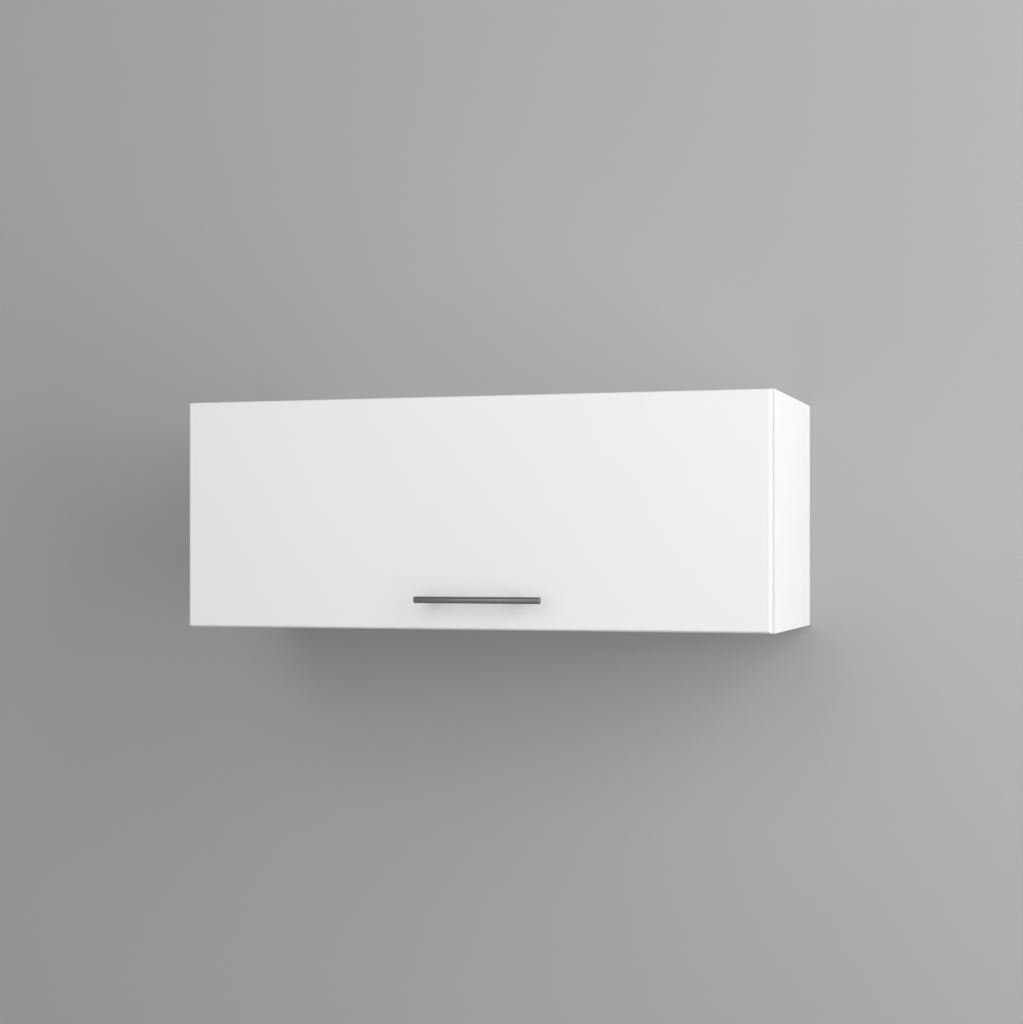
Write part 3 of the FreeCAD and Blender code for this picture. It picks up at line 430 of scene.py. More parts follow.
def marked_points(name, marks):
    """A mesh of single points, each with its heading, for a tree to put pieces on."""
    mesh = bpy.data.meshes.new(name)
    places, headings = zip(*marks)
    mesh.from_pydata(places, [], [])
    stored = mesh.attributes.new("heading", "FLOAT_VECTOR", "POINT")
    for item, heading in zip(stored.data, headings):
        item.vector = heading
    return mesh


def placed_on_marks(tree, piece, axis):
    """Put the piece on each point of the tree's input, turned to its heading."""
    heading = tree.node("GeometryNodeInputNamedAttribute", {"data_type": "FLOAT_VECTOR"},
                        Name="heading").outputs["Attribute"]
    turn = tree.node("FunctionNodeAlignRotationToVector", {"axis": axis}, Vector=heading).outputs[0]
    return tree.node("GeometryNodeInstanceOnPoints", Points=tree.entry.outputs[0], Instance=piece,
                     Rotation=turn).outputs[0]


def cast_finish(name, colour, dark):
    """Die-cast zinc: dull grey with the grain of the mould."""
    finish = Finish(name, 0.5, 0.9)
    grain = finish.noise(1400, 3)
    finish.colour(finish.mix(finish.between(finish.noise(120, 3), 0.35, 0.65), colour, dark))
    finish.rough(finish.between(grain, 0.3, 0.7, 0.42, 0.58))
    return finish.bumps((grain, 0.00002))


cast_zinc = cast_finish("cast_zinc", (0.56, 0.57, 0.58), (0.48, 0.49, 0.50))
cam_points = solids_of("cam_locks")
cam_low, cam_high = span(cam_points[0])
cam_marks = []
for points in cam_points:
    low, high = span(points)
    middle = (low + high) / 2
    to_the_side = Vector((math.copysign(1, middle.x), 0, 0))
    cam_marks.append((Vector((middle.x, middle.y, high.z)), to_the_side))

cam_tree = NodeTree("cams")
cam_radius = cam_tree.size("Radius")
cam_height = cam_tree.size("Height")
slot_length = cam_tree.size("Slot Length")
slot_width = cam_tree.size("Slot Width")
slot_depth = cam_tree.size("Slot Depth")
bolt_depth = cam_tree.size("Bolt Depth")
bolt_room = cam_tree.size("Bolt Room")
cam_disc = cam_tree.node("GeometryNodeMeshCylinder", Vertices=40, Radius=cam_radius,
                         Depth=cam_height).outputs[0]
cam_disc = cam_tree.moved(cam_disc, cam_tree.point(z=cam_tree.math("MULTIPLY", cam_height, -0.5)))
cam_cuts = []
double_depth = cam_tree.math("MULTIPLY", slot_depth, 2.0)
for across, along in ((slot_length, slot_width), (slot_width, slot_length)):
    cam_cuts.append(cam_tree.node("GeometryNodeMeshCube",
                                  Size=cam_tree.point(across, along, double_depth)).outputs[0])
cam_width = cam_tree.math("MULTIPLY", cam_radius, 2.0)
cam_pocket = cam_tree.node("GeometryNodeMeshCube",
                           Size=cam_tree.point(cam_width, bolt_room, bolt_room)).outputs[0]
pocket_x = cam_tree.math("SUBTRACT", cam_radius, cam_tree.math("MULTIPLY", bolt_room, 0.5))
pocket_z = cam_tree.math("MULTIPLY", bolt_depth, -1.0)
cam_cuts.append(cam_tree.moved(cam_pocket, cam_tree.point(pocket_x, z=pocket_z)))
cam_whole = cam_tree.cut(cam_disc, cam_cuts)
cam_tree.finished(placed_on_marks(cam_tree, cam_whole, "X"), cast_zinc.material)
cam_tree.grow("cams", marked_points("cam_marks", cam_marks), "root", "zinc_casting", ["cam_locks"],
              Radius=(cam_high.y - cam_low.y) / 2, Height=cam_high.z - cam_low.z,
              Slot_Length=0.0086, Slot_Width=0.0016, Slot_Depth=0.0025, Bolt_Depth=0.0077,
              Bolt_Room=0.0072)

dress(zinc_plate, "cam_bolts")

beech = Finish("beech", 0.6)
beech_grain = beech.noise(500, 4, (0.06, 1, 1))
beech.colour(beech.ramp(beech_grain, (0.3, (0.50, 0.30, 0.16)), (0.6, (0.66, 0.45, 0.27)),
                        (0.8, (0.74, 0.55, 0.36))))
beech.bumps((beech_grain, 0.00008))
dress(beech, "carcass_dowels")

cap_finish = Finish("white_cap", 0.4)
cap_finish.colour(cap_finish.mix(cap_finish.noise(60, 2), (0.84, 0.84, 0.83),
                                 (0.815, 0.815, 0.805)))
cap_finish.bumps((cap_finish.noise(1800, 2), 0.000008))
cap_marks = []
for points in solids_of("cam_cover_caps"):
    low, high = span(points)
    middle = (low + high) / 2
    cap_marks.append((Vector((middle.x, middle.y, high.z)), Vector((1, 0, 0))))
cap_tree = NodeTree("cover_caps")
cap_radius = cap_tree.size("Radius")
cap_thickness = cap_tree.size("Thickness")
plug_thickness = cap_tree.size("Plug Thickness")
plug_width = cap_tree.size("Plug Width")
plug_depth = cap_tree.size("Plug Depth")
cap_face = cap_tree.math("SUBTRACT", cap_radius, cap_thickness)
cap_rim = cap_tree.node("GeometryNodeMeshCone", Vertices=40, Radius_Bottom=cap_radius,
                        Radius_Top=cap_face, Depth=cap_thickness).outputs[0]
cap_plug = cap_tree.node("GeometryNodeMeshCube",
                         Size=cap_tree.point(plug_thickness, plug_width, plug_depth)).outputs[0]
rim_z = cap_tree.math("MULTIPLY", cap_thickness, -1.0)
plug_z = cap_tree.math("SUBTRACT", cap_tree.math("MULTIPLY", plug_depth, -0.5), cap_thickness)
cap_whole = cap_tree.node("GeometryNodeJoinGeometry", Geometry=[
    cap_tree.moved(cap_rim, cap_tree.point(z=rim_z)),
    cap_tree.moved(cap_plug, cap_tree.point(z=plug_z)),
]).outputs[0]
cap_tree.finished(placed_on_marks(cap_tree, cap_whole, "X"), cap_finish.material)
cap_tree.grow("cover_caps", marked_points("cap_marks", cap_marks), "root", "white_plastic",
              ["cam_cover_caps"], Radius=0.0085, Thickness=0.001, Plug_Thickness=0.0012,
              Plug_Width=0.0065, Plug_Depth=0.0024)

# Hanging brackets ----------------------------------------------------------------------------
# Bent angles of 2 mm zinc-plated steel in the rear upper corners. A wall screw goes through
# the level slot, and two chipboard screws hold each bracket to its side panel.

slot_of = {entry["node"]: entry["material_slot"] for entry in frame["record"]["subparts"]}
body_of = {}
for body, nodes in frame["record"]["behaviour"]["bodies"].items():
    body_of.update(dict.fromkeys(nodes, body))


def eased_copy(node, finish, width=0.0003):
    """A finer piece for a CAD node: rounder curves, slightly rounded edges and flats kept flat.

    Edges that turn by 5 to 36 degrees are the facets of curves; sharper ones are real edges.
    """
    shape = merged_copy(node)
    for lowest, highest, how, offset in ((5, 36, "PERCENT", 30), (36, 181, "OFFSET", width)):
        edges = [e for e in shape.edges if e.is_manifold
                 and math.radians(lowest) < e.calc_face_angle() <= math.radians(highest)]
        bmesh.ops.bevel(shape, geom=edges, offset=offset, offset_type=how, segments=2, profile=0.5,
                        affect="EDGES", clamp_overlap=True)
    mesh = plain_mesh("fine_" + node, shape)
    mesh.materials.clear()
    mesh.materials.append(finish.material)
    mesh.shade_smooth()
    mesh.set_sharp_from_angle(angle=math.radians(50))
    piece = bpy.data.objects.new("fine_" + node, mesh)
    bpy.context.scene.collection.objects.link(piece)
    flats = piece.modifiers.new("flats", "WEIGHTED_NORMAL")
    flats.keep_sharp = True
    return settle(piece, body_of[node], [node])


for side in ("left", "right"):
    eased_copy("hanging_bracket_" + side, zinc_plate)

WIDE_HEAD = 0.003


def end_radius(points, axis, end):
    """How far a solid reaches from its axis at one of its ends."""
    low, high = span(points)
    near = [p - (low + high) / 2 for p in points if abs(p[axis] - end) < 1e-5]
    return max(math.hypot(*(p[i] for i in range(3) if i != axis)) for p in near)


def screw_marks(node, along, wide=None):
    """Where each screw or pin of a CAD node has its head, and the way the head faces.

    Without a head at either end, it faces the low end of its axis. Where wide is given, only
    the screws with a wide head, or only those without, are marked.
    """
    axis = "XYZ".index(along)
    marks = []
    for points in solids_of(node):
        low, high = span(points)
        at_low = end_radius(points, axis, low[axis])
        at_high = end_radius(points, axis, high[axis])
        if wide is not None and (max(at_low, at_high) > WIDE_HEAD) != wide:
            continue
        outward = 1 if at_high > at_low + 1e-5 else -1
        heading = Vector([outward if i == axis else 0 for i in range(3)])
        place = (low + high) / 2
        place[axis] = high[axis] if outward > 0 else low[axis]
        marks.append((place, heading))
    return marks


# Every screw is bright zinc-plated with a cross recess; the tree makes countersunk and cheese
# heads from its sizes. A chipboard screw's head is sunk a little under the face around it.
screw_zinc = plated_finish("bright_zinc_screws", (0.76, 0.77, 0.78), (0.69, 0.70, 0.71), 0.24)
screw_tree = NodeTree("cross_recess_screws")
sink = screw_tree.size("Sink")
face_radius = screw_tree.size("Face Radius")
neck_radius = screw_tree.size("Neck Radius")
head_height = screw_tree.size("Head Height")
shank_radius = screw_tree.size("Shank Radius")
shank_length = screw_tree.size("Shank Length")
thread_pitch = screw_tree.size("Thread Pitch")
recess_reach = screw_tree.size("Recess Reach")
recess_width = screw_tree.size("Recess Width")
recess_depth = screw_tree.size("Recess Depth")
head_down = screw_tree.math("MULTIPLY", head_height, -1.0)
screw_head = screw_tree.node("GeometryNodeMeshCone", Vertices=32, Radius_Top=face_radius,
                             Radius_Bottom=neck_radius, Depth=head_height).outputs[0]
screw_head = screw_tree.moved(screw_head, screw_tree.point(z=head_down))
recesses = []
double_recess = screw_tree.math("MULTIPLY", recess_depth, 2.0)
for across, along in ((recess_reach, recess_width), (recess_width, recess_reach)):
    recesses.append(screw_tree.node("GeometryNodeMeshCube",
                                    Size=screw_tree.point(across, along, double_recess)).outputs[0])
screw_head = screw_tree.cut(screw_head, recesses)
shank_middle = screw_tree.math("SUBTRACT", head_down,
                               screw_tree.math("MULTIPLY", shank_length, 0.5))
screw_shank = screw_tree.node("GeometryNodeMeshCylinder", Vertices=16, Radius=shank_radius,
                              Depth=shank_length).outputs[0]
screw_shank = screw_tree.moved(screw_shank, screw_tree.point(z=shank_middle))
thread_turns = screw_tree.math("DIVIDE", shank_length, thread_pitch)
thread_line = screw_tree.node("GeometryNodeCurveSpiral", Resolution=14, Rotations=thread_turns,
                              Start_Radius=shank_radius, End_Radius=shank_radius,
                              Height=shank_length).outputs[0]
thread_ridge = screw_tree.node("GeometryNodeCurvePrimitiveCircle", Resolution=3,
                               Radius=screw_tree.math("MULTIPLY", thread_pitch, 0.28)).outputs[0]
screw_tip = screw_tree.math("SUBTRACT", head_down, shank_length)
screw_thread = screw_tree.node("GeometryNodeCurveToMesh", Curve=thread_line,
                               Profile_Curve=thread_ridge, Fill_Caps=True).outputs[0]
screw_thread = screw_tree.moved(screw_thread, screw_tree.point(z=screw_tip))
screw_whole = screw_tree.node("GeometryNodeJoinGeometry",
                              Geometry=[screw_head, screw_shank, screw_thread]).outputs[0]
sunk = screw_tree.math("MULTIPLY", sink, -1.0)
screw_whole = screw_tree.moved(screw_whole, screw_tree.point(z=sunk))
screw_tree.finished(placed_on_marks(screw_tree, screw_whole, "Z"), screw_zinc.material)

chipboard_screw = dict(Sink=0.00012, Face_Radius=0.0031, Neck_Radius=0.0016, Head_Height=0.0016,
                       Shank_Radius=0.0013, Shank_Length=0.0121, Thread_Pitch=0.0014,
                       Recess_Reach=0.0034, Recess_Width=0.0008, Recess_Depth=0.0012)


def chipboard_screws(node, along):
    """The countersunk chipboard screws of one CAD node."""
    screw_tree.grow("fine_" + node, marked_points(node + "_marks", screw_marks(node, along)),
                    body_of[node], slot_of[node], [node], **chipboard_screw)


chipboard_screws("hanging_bracket_screws", "X")

# Concealed hinges ----------------------------------------------------------------------------
# Nickel-plated steel: a cup pressed into the front and screwed by its wings, a cranked arm
# turning on the pin of the cup, and a mounting plate screwed under the top panel. The arm
# slides over the rail of its plate and is held by a fixing screw; a smaller one adjusts it.

nickel = plated_finish("nickel_plating", (0.70, 0.685, 0.655), (0.63, 0.615, 0.585), 0.27)
for side in ("left", "right"):
    for piece in ("hinge_plate_", "hinge_arm_", "hinge_cup_"):
        eased_copy(piece + side, nickel, 0.00025)
dress(nickel, "hinge_pins")
chipboard_screws("hinge_plate_screws", "Z")
chipboard_screws("hinge_cup_screws", "Y")
fixing_marks = screw_marks("hinge_arm_screws", "Z", True)
screw_tree.grow("hinge_fixing_screws", marked_points("fixing_marks", fixing_marks), "root",
                "plated_steel", ["hinge_arm_screws"], Sink=0.0, Face_Radius=0.0042,
                Neck_Radius=0.005, Head_Height=0.0023, Shank_Radius=0.0023, Shank_Length=0.0072,
                Thread_Pitch=0.0008, Recess_Reach=0.0044, Recess_Width=0.001, Recess_Depth=0.0015)
adjusting_marks = screw_marks("hinge_arm_screws", "Z", False)
screw_tree.grow("hinge_adjusting_screws", marked_points("adjusting_marks", adjusting_marks),
                "root", "plated_steel", Sink=0.0, Face_Radius=0.0019, Neck_Radius=0.002,
                Head_Height=0.0015, Shank_Radius=0.0018, Shank_Length=0.0048,
                Thread_Pitch=0.0007, Recess_Reach=0.0028, Recess_Width=0.0007, Recess_Depth=0.001)

# Flap stays ----------------------------------------------------------------------------------
# Each side has a plated bracket with a round brake hub on the side panel, and a tube that
# swings on it by a cast fork. Inside, a coil spring presses a nylon shoe on the hub, which
# holds the front where it is left. A flat lever joins the tube's foot to the front.


def lathe(shape, start, direction, stations, segments=48, closed=False):
    """Turned form added to a bmesh: stations are (distance along the axis, radius)."""
    along = direction.normalized()
    side = along.orthogonal().normalized()
    third = along.cross(side)
    rings = []
    for distance, radius in stations:
        centre = start + along * distance
        if radius == 0:
            rings.append([shape.verts.new(centre)])
            continue
        ring = []
        for step in range(segments):
            angle = 2 * math.pi * step / segments
            spoke = side * math.cos(angle) + third * math.sin(angle)
            ring.append(shape.verts.new(centre + spoke * radius))
        rings.append(ring)
    pairs = list(zip(rings, rings[1:])) + ([(rings[-1], rings[0])] if closed else [])
    for near, far in pairs:
        for step in range(segments):
            following = (step + 1) % segments
            if len(near) == 1:
                shape.faces.new((near[0], far[following], far[step]))
            elif len(far) == 1:
                shape.faces.new((near[step], near[following], far[0]))
            else:
                shape.faces.new((near[step], near[following], far[following], far[step]))
    return rings


def turned_piece(name, shape, finish, body, replaced=(), smooth_to=32):
    """Keep a bmesh as a smooth piece of the object."""
    bmesh.ops.recalc_face_normals(shape, faces=shape.faces)
    mesh = plain_mesh(name, shape)
    mesh.materials.append(finish.material)
    mesh.shade_smooth()
    mesh.set_sharp_from_angle(angle=math.radians(smooth_to))
    piece = bpy.data.objects.new(name, mesh)
    bpy.context.scene.collection.objects.link(piece)
    return settle(piece, body, replaced)


def joint_place(name):
    """Where a joint of the frame turns."""
    return Vector(next(joint["pos_m"] for joint in frame["joints"] if joint["name"] == name))


def stay_line(side):
    """Upper pivot of a stay and the direction of its tube."""
    top = joint_place("stay_arm_" + side + "_pivot")
    knee = joint_place("stay_knee_" + side)
    return top, Vector((0, knee.y - top.y, knee.z - top.z)).normalized()


def along_stay(node, side):
    """Distances from the upper pivot at which a CAD node of the stay starts and ends."""
    top, along = stay_line(side)
    distances = [(vertex.co - top).dot(along) for vertex in frame["nodes"][node].data.vertices]
    return min(distances), max(distances)


nylon = Finish("grey_nylon", 0.5)
nylon.colour(nylon.mix(nylon.noise(200, 2), (0.30, 0.31, 0.32), (0.26, 0.27, 0.28)))
nylon.bumps((nylon.noise(2000, 2), 0.00001))
spring_steel = plated_finish("spring_steel", (0.20, 0.20, 0.21), (0.14, 0.14, 0.15), 0.4)

spring_tree = NodeTree("stay_springs")
coil_radius = spring_tree.size("Coil Radius")
wire_radius = spring_tree.size("Wire Radius")
spring_turns = spring_tree.size("Turns")
spring_length = spring_tree.size("Length")
spring_line = spring_tree.node("GeometryNodeCurveSpiral", Resolution=28, Rotations=spring_turns,
                               Start_Radius=coil_radius, End_Radius=coil_radius,
                               Height=spring_length).outputs[0]
spring_wire = spring_tree.node("GeometryNodeCurvePrimitiveCircle", Resolution=10,
                               Radius=wire_radius).outputs[0]
spring_coil = spring_tree.node("GeometryNodeCurveToMesh", Curve=spring_line,
                               Profile_Curve=spring_wire, Fill_Caps=True).outputs[0]
spring_tree.finished(placed_on_marks(spring_tree, spring_coil, "Z"), spring_steel.material)

tube_radius = 0.008
tube_bore = 0.00705
tube_chamfer = 0.0003
half_wire = 0.00072
stay_parts = (("cabinet_bracket", zinc_plate, 0.0003), ("fork", cast_zinc, 0.0004),
              ("foot", cast_zinc, 0.0004), ("lever", nickel, 0.0003),
              ("door_bracket", zinc_plate, 0.0003), ("brake_shoe", nylon, 0.0003))
for side in ("left", "right"):
    arm_body = "stay_arm_" + side
    top, along = stay_line(side)
    for part, finish, width in stay_parts:
        eased_copy("stay_" + part + "_" + side, finish, width)
    start, end = along_stay("stay_tube_" + side, side)
    tube = bmesh.new()
    lathe(tube, top, along, [(start, tube_bore), (start, tube_radius - tube_chamfer),
                             (start + tube_chamfer, tube_radius), (end - tube_chamfer, tube_radius),
                             (end, tube_radius - tube_chamfer), (end, tube_bore)], closed=True)
    turned_piece("fine_stay_tube_" + side, tube, nickel, arm_body,
                 ["stay_tube_" + side])
    start, end = along_stay("stay_spring_" + side, side)
    spring_tree.grow("fine_stay_spring_" + side,
                     marked_points("spring_mark", [(top + along * (start + half_wire), along)]),
                     arm_body, "spring_steel", ["stay_spring_" + side], Coil_Radius=0.0053,
                     Wire_Radius=half_wire, Turns=11.0, Length=end - start - 2 * half_wire)

chipboard_screws("stay_cabinet_bracket_screws", "X")
chipboard_screws("stay_door_bracket_screws", "Y")

# The pins are plain plated rivets, domed at the head and slightly chamfered at the tail.


def turned_form(tree, stations, sides):
    """A closed turned form along Z. Each station is a height and a radius, from the low end up."""
    number = tree.node("GeometryNodeInputIndex").outputs[0]
    chosen = []
    for values in zip(*stations):
        choice = tree.node("GeometryNodeIndexSwitch", {"data_type": "FLOAT"}, Index=number)
        while len(choice.index_switch_items) < len(stations):
            choice.index_switch_items.new()
        for place, value in enumerate(values):
            tree.feed(choice.inputs[place + 1], value)
        chosen.append(choice.outputs[0])
    heights, radii = chosen
    row = tree.node("GeometryNodeMeshLine", Count=len(stations)).outputs[0]
    upright = tree.node("GeometryNodeSetPosition", Geometry=row,
                        Position=tree.point(z=heights)).outputs[0]
    axis = tree.node("GeometryNodeMeshToCurve", Mesh=upright).outputs[0]
    ring = tree.node("GeometryNodeCurvePrimitiveCircle", Resolution=sides, Radius=1.0).outputs[0]
    return tree.node("GeometryNodeCurveToMesh", Curve=axis, Profile_Curve=ring, Scale=radii,
                     Fill_Caps=True).outputs[0]


rivet_tree = NodeTree("pivot_pins")
rivet_radius = rivet_tree.size("Pin Radius")
rivet_length = rivet_tree.size("Length")
rivet_head = rivet_tree.size("Head Radius")
rivet_height = rivet_tree.size("Head Height")
tail_chamfer = rivet_tree.size("Tail Chamfer")
tail_radius = rivet_tree.math("MULTIPLY", rivet_radius, 0.88)
rivet_stations = [
    (rivet_tree.math("MULTIPLY", rivet_length, -1.0), tail_radius),
    (rivet_tree.math("SUBTRACT", tail_chamfer, rivet_length), rivet_radius),
    (rivet_tree.math("MULTIPLY", rivet_height, -1.0), rivet_radius),
]
# The dome, in shares of the head's height below its top and of the head's radius.
for below, across in ((0.99, 1.0), (0.5, 1.0), (0.2, 0.87), (0.05, 0.68), (0.0, 0.45)):
    rivet_stations.append((rivet_tree.math("MULTIPLY", rivet_height, -below),
                           rivet_tree.math("MULTIPLY", rivet_head, across)))
rivet_whole = turned_form(rivet_tree, rivet_stations, 32)
rivet_tree.finished(placed_on_marks(rivet_tree, rivet_whole, "Z"), nickel.material)

cut_short = 0.0001
for node in ("stay_cabinet_pins", "stay_door_pins", "stay_knee_pin_left", "stay_knee_pin_right"):
    low, high = span(solids_of(node)[0])
    rivet_tree.grow("fine_" + node, marked_points(node + "_marks", screw_marks(node, "X")),
                    body_of[node], slot_of[node], [node], Pin_Radius=0.003,
                    Length=high.x - low.x - cut_short, Head_Radius=0.0045, Head_Height=0.0014,
                    Tail_Chamfer=0.0003)

# Lift-up front -------------------------------------------------------------------------------
# 18 mm MDF wrapped in smooth white foil, its front edges rounded to 3 mm. The foil has a soft
# satin sheen and the faintest ripple of the board beneath. It is trimmed off at the white
# backing sheet of the inner face, where its cut shows as a fine darker line.

FOIL_WHITE = (0.857, 0.857, 0.857)
TRIMMED_FOIL = (0.74, 0.72, 0.68)
front_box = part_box("door_panel")
backing = 0.0003
foil_thickness = 0.00012
foil = Finish("front_foil", 0.38, Specular_IOR_Level=0.5)
wrapped = foil.mix(foil.noise(2.5, 2), FOIL_WHITE, tuple(0.985 * c for c in FOIL_WHITE))
inside = foil.math("GREATER_THAN", foil.axis("Y"), front_box[1].y - backing)
trimmed = foil.math("GREATER_THAN", foil.axis("Y"), front_box[1].y - backing - foil_thickness)
outside = foil.mix(trimmed, wrapped, TRIMMED_FOIL)
foil.colour(foil.mix(inside, outside, MELAMINE_WHITE))
foil_skin = foil.noise(1300, 2)
foil.rough(foil.math("ADD", foil.between(foil_skin, 0.3, 0.7, 0.34, 0.42),
                     foil.math("MULTIPLY", inside, 0.06)))
foil.bumps((foil_skin, 0.000008), (foil.noise(28, 1), 0.00003))
dress(foil, "door_panel")

# Bar handle ----------------------------------------------------------------------------------
# A 10 mm round bar of dark steel, brushed along its length, with chamfered ends. Two 8 mm
# posts are hollowed to fit the bar, and machine screws from inside the front hold them.

bar_low, bar_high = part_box("handle_bar")
bar_radius = (bar_high.y - bar_low.y) / 2
bar_length = bar_high.x - bar_low.x
bar_start = Vector((bar_low.x, (bar_low.y + bar_high.y) / 2, (bar_low.z + bar_high.z) / 2))
chamfer = 0.0008
softened = 0.00012


def dark_brushed(name, stretch):
    """Dark brushed steel whose hairlines run along one axis."""
    finish = Finish(name, 0.41, 1.0, Anisotropic=0.4)
    hair = finish.noise(5200, 3, stretch)
    broad = finish.noise(900, 2, stretch)
    finish.colour(finish.ramp(hair, (0.25, (0.184, 0.181, 0.175)), (0.55, (0.23, 0.226, 0.219)),
                              (0.8, (0.276, 0.272, 0.263))))
    finish.rough(finish.between(broad, 0.3, 0.7, 0.36, 0.46))
    return finish.bumps((hair, 0.000012))


bar_steel = dark_brushed("dark_brushed_bar", (0.02, 1, 1))
handle = bmesh.new()
bar_stations = [(0, 0), (0, bar_radius - chamfer - softened),
                (softened * 0.4, bar_radius - chamfer),
                (chamfer - softened, bar_radius - softened), (chamfer + softened, bar_radius)]
bar_stations += [(bar_length - distance, radius) for distance, radius in reversed(bar_stations)]
lathe(handle, bar_start, Vector((1, 0, 0)), bar_stations, 96)
turned_piece("fine_handle_bar", handle, bar_steel, "door", ["handle_bar"])

post_steel = dark_brushed("dark_brushed_posts", (1, 0.02, 1))
posts = bmesh.new()
post_radius = 0.004
post_chamfer = 0.0002
saddle_room = 0.006
saddle_gap = 0.00005
post_reach = front_box[0].y - bar_start.y
for points in solids_of("handle_posts"):
    low, high = span(points)
    base = Vector(((low.x + high.x) / 2, front_box[0].y, bar_start.z))
    rings = lathe(posts, base, Vector((0, -1, 0)),
                  [(0, 0), (0, post_radius - post_chamfer), (post_chamfer, post_radius),
                   (post_reach - saddle_room, post_radius), (post_reach, post_radius)])
    for vertex in rings[-1]:
        height = vertex.co.z - bar_start.z
        vertex.co.y = bar_start.y + math.sqrt((bar_radius + saddle_gap) ** 2 - height ** 2)
    posts.faces.new(rings[-1])
turned_piece("fine_handle_posts", posts, post_steel, "door", ["handle_posts"])

handle_marks = screw_marks("handle_screws", "Y")
screw_tree.grow("fine_handle_screws", marked_points("handle_marks", handle_marks), "door",
                "plated_steel", ["handle_screws"], Sink=0.0, Face_Radius=0.0034, Neck_Radius=0.004,
                Head_Height=0.0016, Shank_Radius=0.0018, Shank_Length=0.0265, Thread_Pitch=0.0007,
                Recess_Reach=0.0042, Recess_Width=0.001, Recess_Depth=0.0011)

# Door bumpers --------------------------------------------------------------------------------
# Clear soft domes, glued on the inside of the front where it meets the sides, which quieten
# the closing.

clear = Finish("clear_rubber", 0.16, IOR=1.45, Transmission_Weight=0.7)
clear.colour(clear.mix(clear.noise(400, 2), (0.95, 0.96, 0.96), (0.92, 0.93, 0.935)))
clear.bumps((clear.noise(900, 2), 0.00001))
glue_film = 0.00006
bumper_radius = 0.004
bumper_fullness = 0.8
dome_steps = 12
bumpers = bmesh.new()
for points in solids_of("door_bumpers"):
    low, high = span(points)
    dome = high.y - low.y - glue_film
    stations = [(glue_film, 0), (glue_film, bumper_radius)]
    for step in range(1, dome_steps):
        angle = math.pi / 2 * step / dome_steps
        stations.append((glue_film + dome * math.sin(angle),
                         bumper_radius * math.cos(angle) ** bumper_fullness))
    stations.append((glue_film + dome, 0))
    base = Vector(((low.x + high.x) / 2, low.y, (low.z + high.z) / 2))
    lathe(bumpers, base, Vector((0, 1, 0)), stations)
turned_piece("fine_door_bumpers", bumpers, clear, "door", ["door_bumpers"], 70)

# Wall, floor, lamps and camera ---------------------------------------------------------------
# The cabinet hangs on a plain grey wall, seen a little from the right. The pale floor lies 2 m
# below it, as it does under a wall unit over a tall refrigerator.


def stage_sheet(name, corners, finish):
    """A flat part of the stage: only its front shows, and it casts no light or shade."""
    mesh = bpy.data.meshes.new(name)
    mesh.from_pydata(corners, [], [(0, 1, 2, 3)])
    sheet = bpy.data.objects.new(name, mesh)
    bpy.context.scene.collection.objects.link(sheet)
    clear_back = finish.node("ShaderNodeBsdfTransparent").outputs[0]
    behind = finish.node("ShaderNodeNewGeometry").outputs["Backfacing"]
    both = finish.node("ShaderNodeMixShader", _0=behind, _1=finish.shader.outputs[0],
                       _2=clear_back).outputs[0]
    finish.feed(finish.tree.nodes["Material Output"].inputs["Surface"], both)
    mesh.materials.append(finish.material)
    sheet.visible_diffuse = False
    sheet.visible_shadow = False


SQUARE = ((-1, -1), (1, -1), (1, 1), (-1, 1))
WALL_REACH = 6.0
WALL_GAP = 0.0006
FLOOR_DROP = 2.0
FLOOR_GLOW = 0.52
wall_paint = Finish("wall_paint", 0.8)
wall_paint.colour(wall_paint.mix(wall_paint.noise(3, 2), (0.413, 0.413, 0.413),
                                 (0.403, 0.403, 0.403)))
wall_paint.bumps((wall_paint.noise(420, 3), 0.0001))
stage_sheet("wall", [(WALL_REACH * x, WALL_GAP, WALL_REACH if up > 0 else -FLOOR_DROP)
                     for x, up in SQUARE], wall_paint)
floor_paint = Finish("floor_paint", 0.7, Emission_Color=(1.0, 0.985, 0.96, 1.0))
floor_paint.colour(floor_paint.mix(floor_paint.noise(5, 2), (0.125, 0.123, 0.12),
                                   (0.115, 0.113, 0.11)))
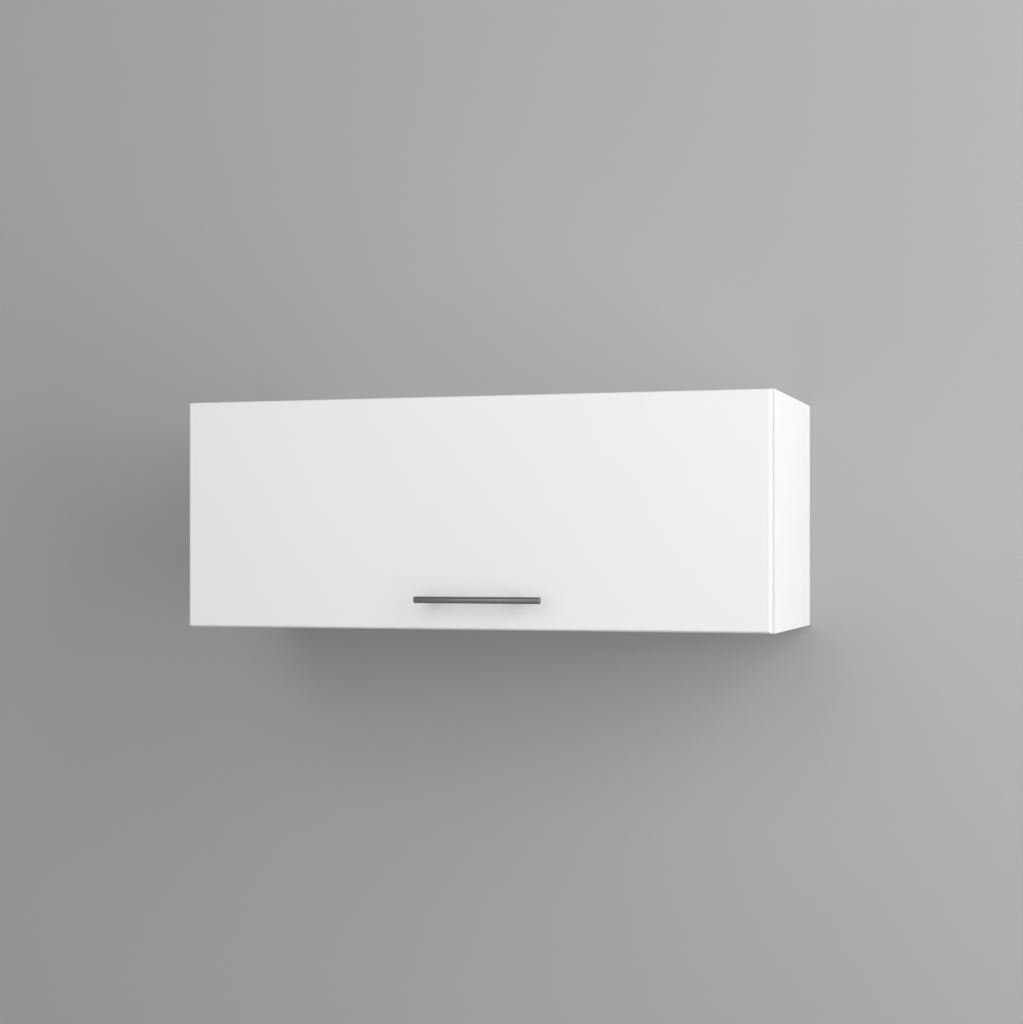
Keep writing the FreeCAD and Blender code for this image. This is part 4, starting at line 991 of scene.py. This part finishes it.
# The floor glows for the camera and in reflections only, so it puts no light on the cabinet.
rays = floor_paint.node("ShaderNodeLightPath").outputs
seen = floor_paint.math("MAXIMUM", rays["Is Camera Ray"], rays["Is Glossy Ray"])
floor_paint.feed(floor_paint.shader.inputs["Emission Strength"],
                 floor_paint.math("MULTIPLY", seen, FLOOR_GLOW))
floor_paint.bumps((floor_paint.noise(300, 3), 0.0001))
stage_sheet("floor", [(WALL_REACH * x, WALL_REACH * y, -FLOOR_DROP) for x, y in SQUARE],
            floor_paint)

LAMP_DISTANCE = 4.0
LAMP_WIDTH = 2.5
CABINET_MIDDLE = Vector((0, -0.2, 0))


def softbox(name, bearing, climb, watts):
    """A large square lamp. Bearing is in degrees to the right of straight ahead, climb upwards."""
    lamp = bpy.data.lights.new(name, "AREA")
    lamp.shape = "SQUARE"
    lamp.size = LAMP_WIDTH
    lamp.energy = watts
    holder = bpy.data.objects.new(name, lamp)
    level = LAMP_DISTANCE * math.cos(math.radians(climb))
    holder.location = (level * math.sin(math.radians(bearing)),
                       -level * math.cos(math.radians(bearing)),
                       LAMP_DISTANCE * math.sin(math.radians(climb)))
    aim = CABINET_MIDDLE - holder.location
    holder.rotation_euler = aim.to_track_quat("-Z", "Y").to_euler()
    bpy.context.scene.collection.objects.link(holder)


for climb, watts in ((-10, 53), (20, 69), (50, 29)):
    softbox("right_key_" + str(climb + 10), 60, climb, watts)
softbox("right_side_fill", 85, -10, 3)
softbox("low_front_fill", -10, -10, 14)
softbox("high_front_fill", -10, 20, 34)
softbox("rear_fill", 165, 25, 60)

world = bpy.data.worlds.new("studio")
bpy.context.scene.world = world
world.use_nodes = True
sky = world.node_tree.nodes["Background"].inputs
sky["Color"].default_value = (1.0, 1.0, 1.0, 1.0)
sky["Strength"].default_value = 0.3

# The place, turn and lens of the camera are those that fit the edges in the photograph.
camera = bpy.data.cameras.new("photo_camera")
camera.lens = 68.45
camera.sensor_width = 36.0
camera.shift_y = 0.0400
camera.clip_start = 0.05
viewpoint = bpy.data.objects.new("photo_camera", camera)
viewpoint.location = (0.8965, -3.0695, -0.0589)
viewpoint.rotation_euler = (math.radians(90), 0, math.radians(16.987))
bpy.context.scene.collection.objects.link(viewpoint)
bpy.context.scene.camera = viewpoint
bpy.context.scene.view_settings.view_transform = "Standard"
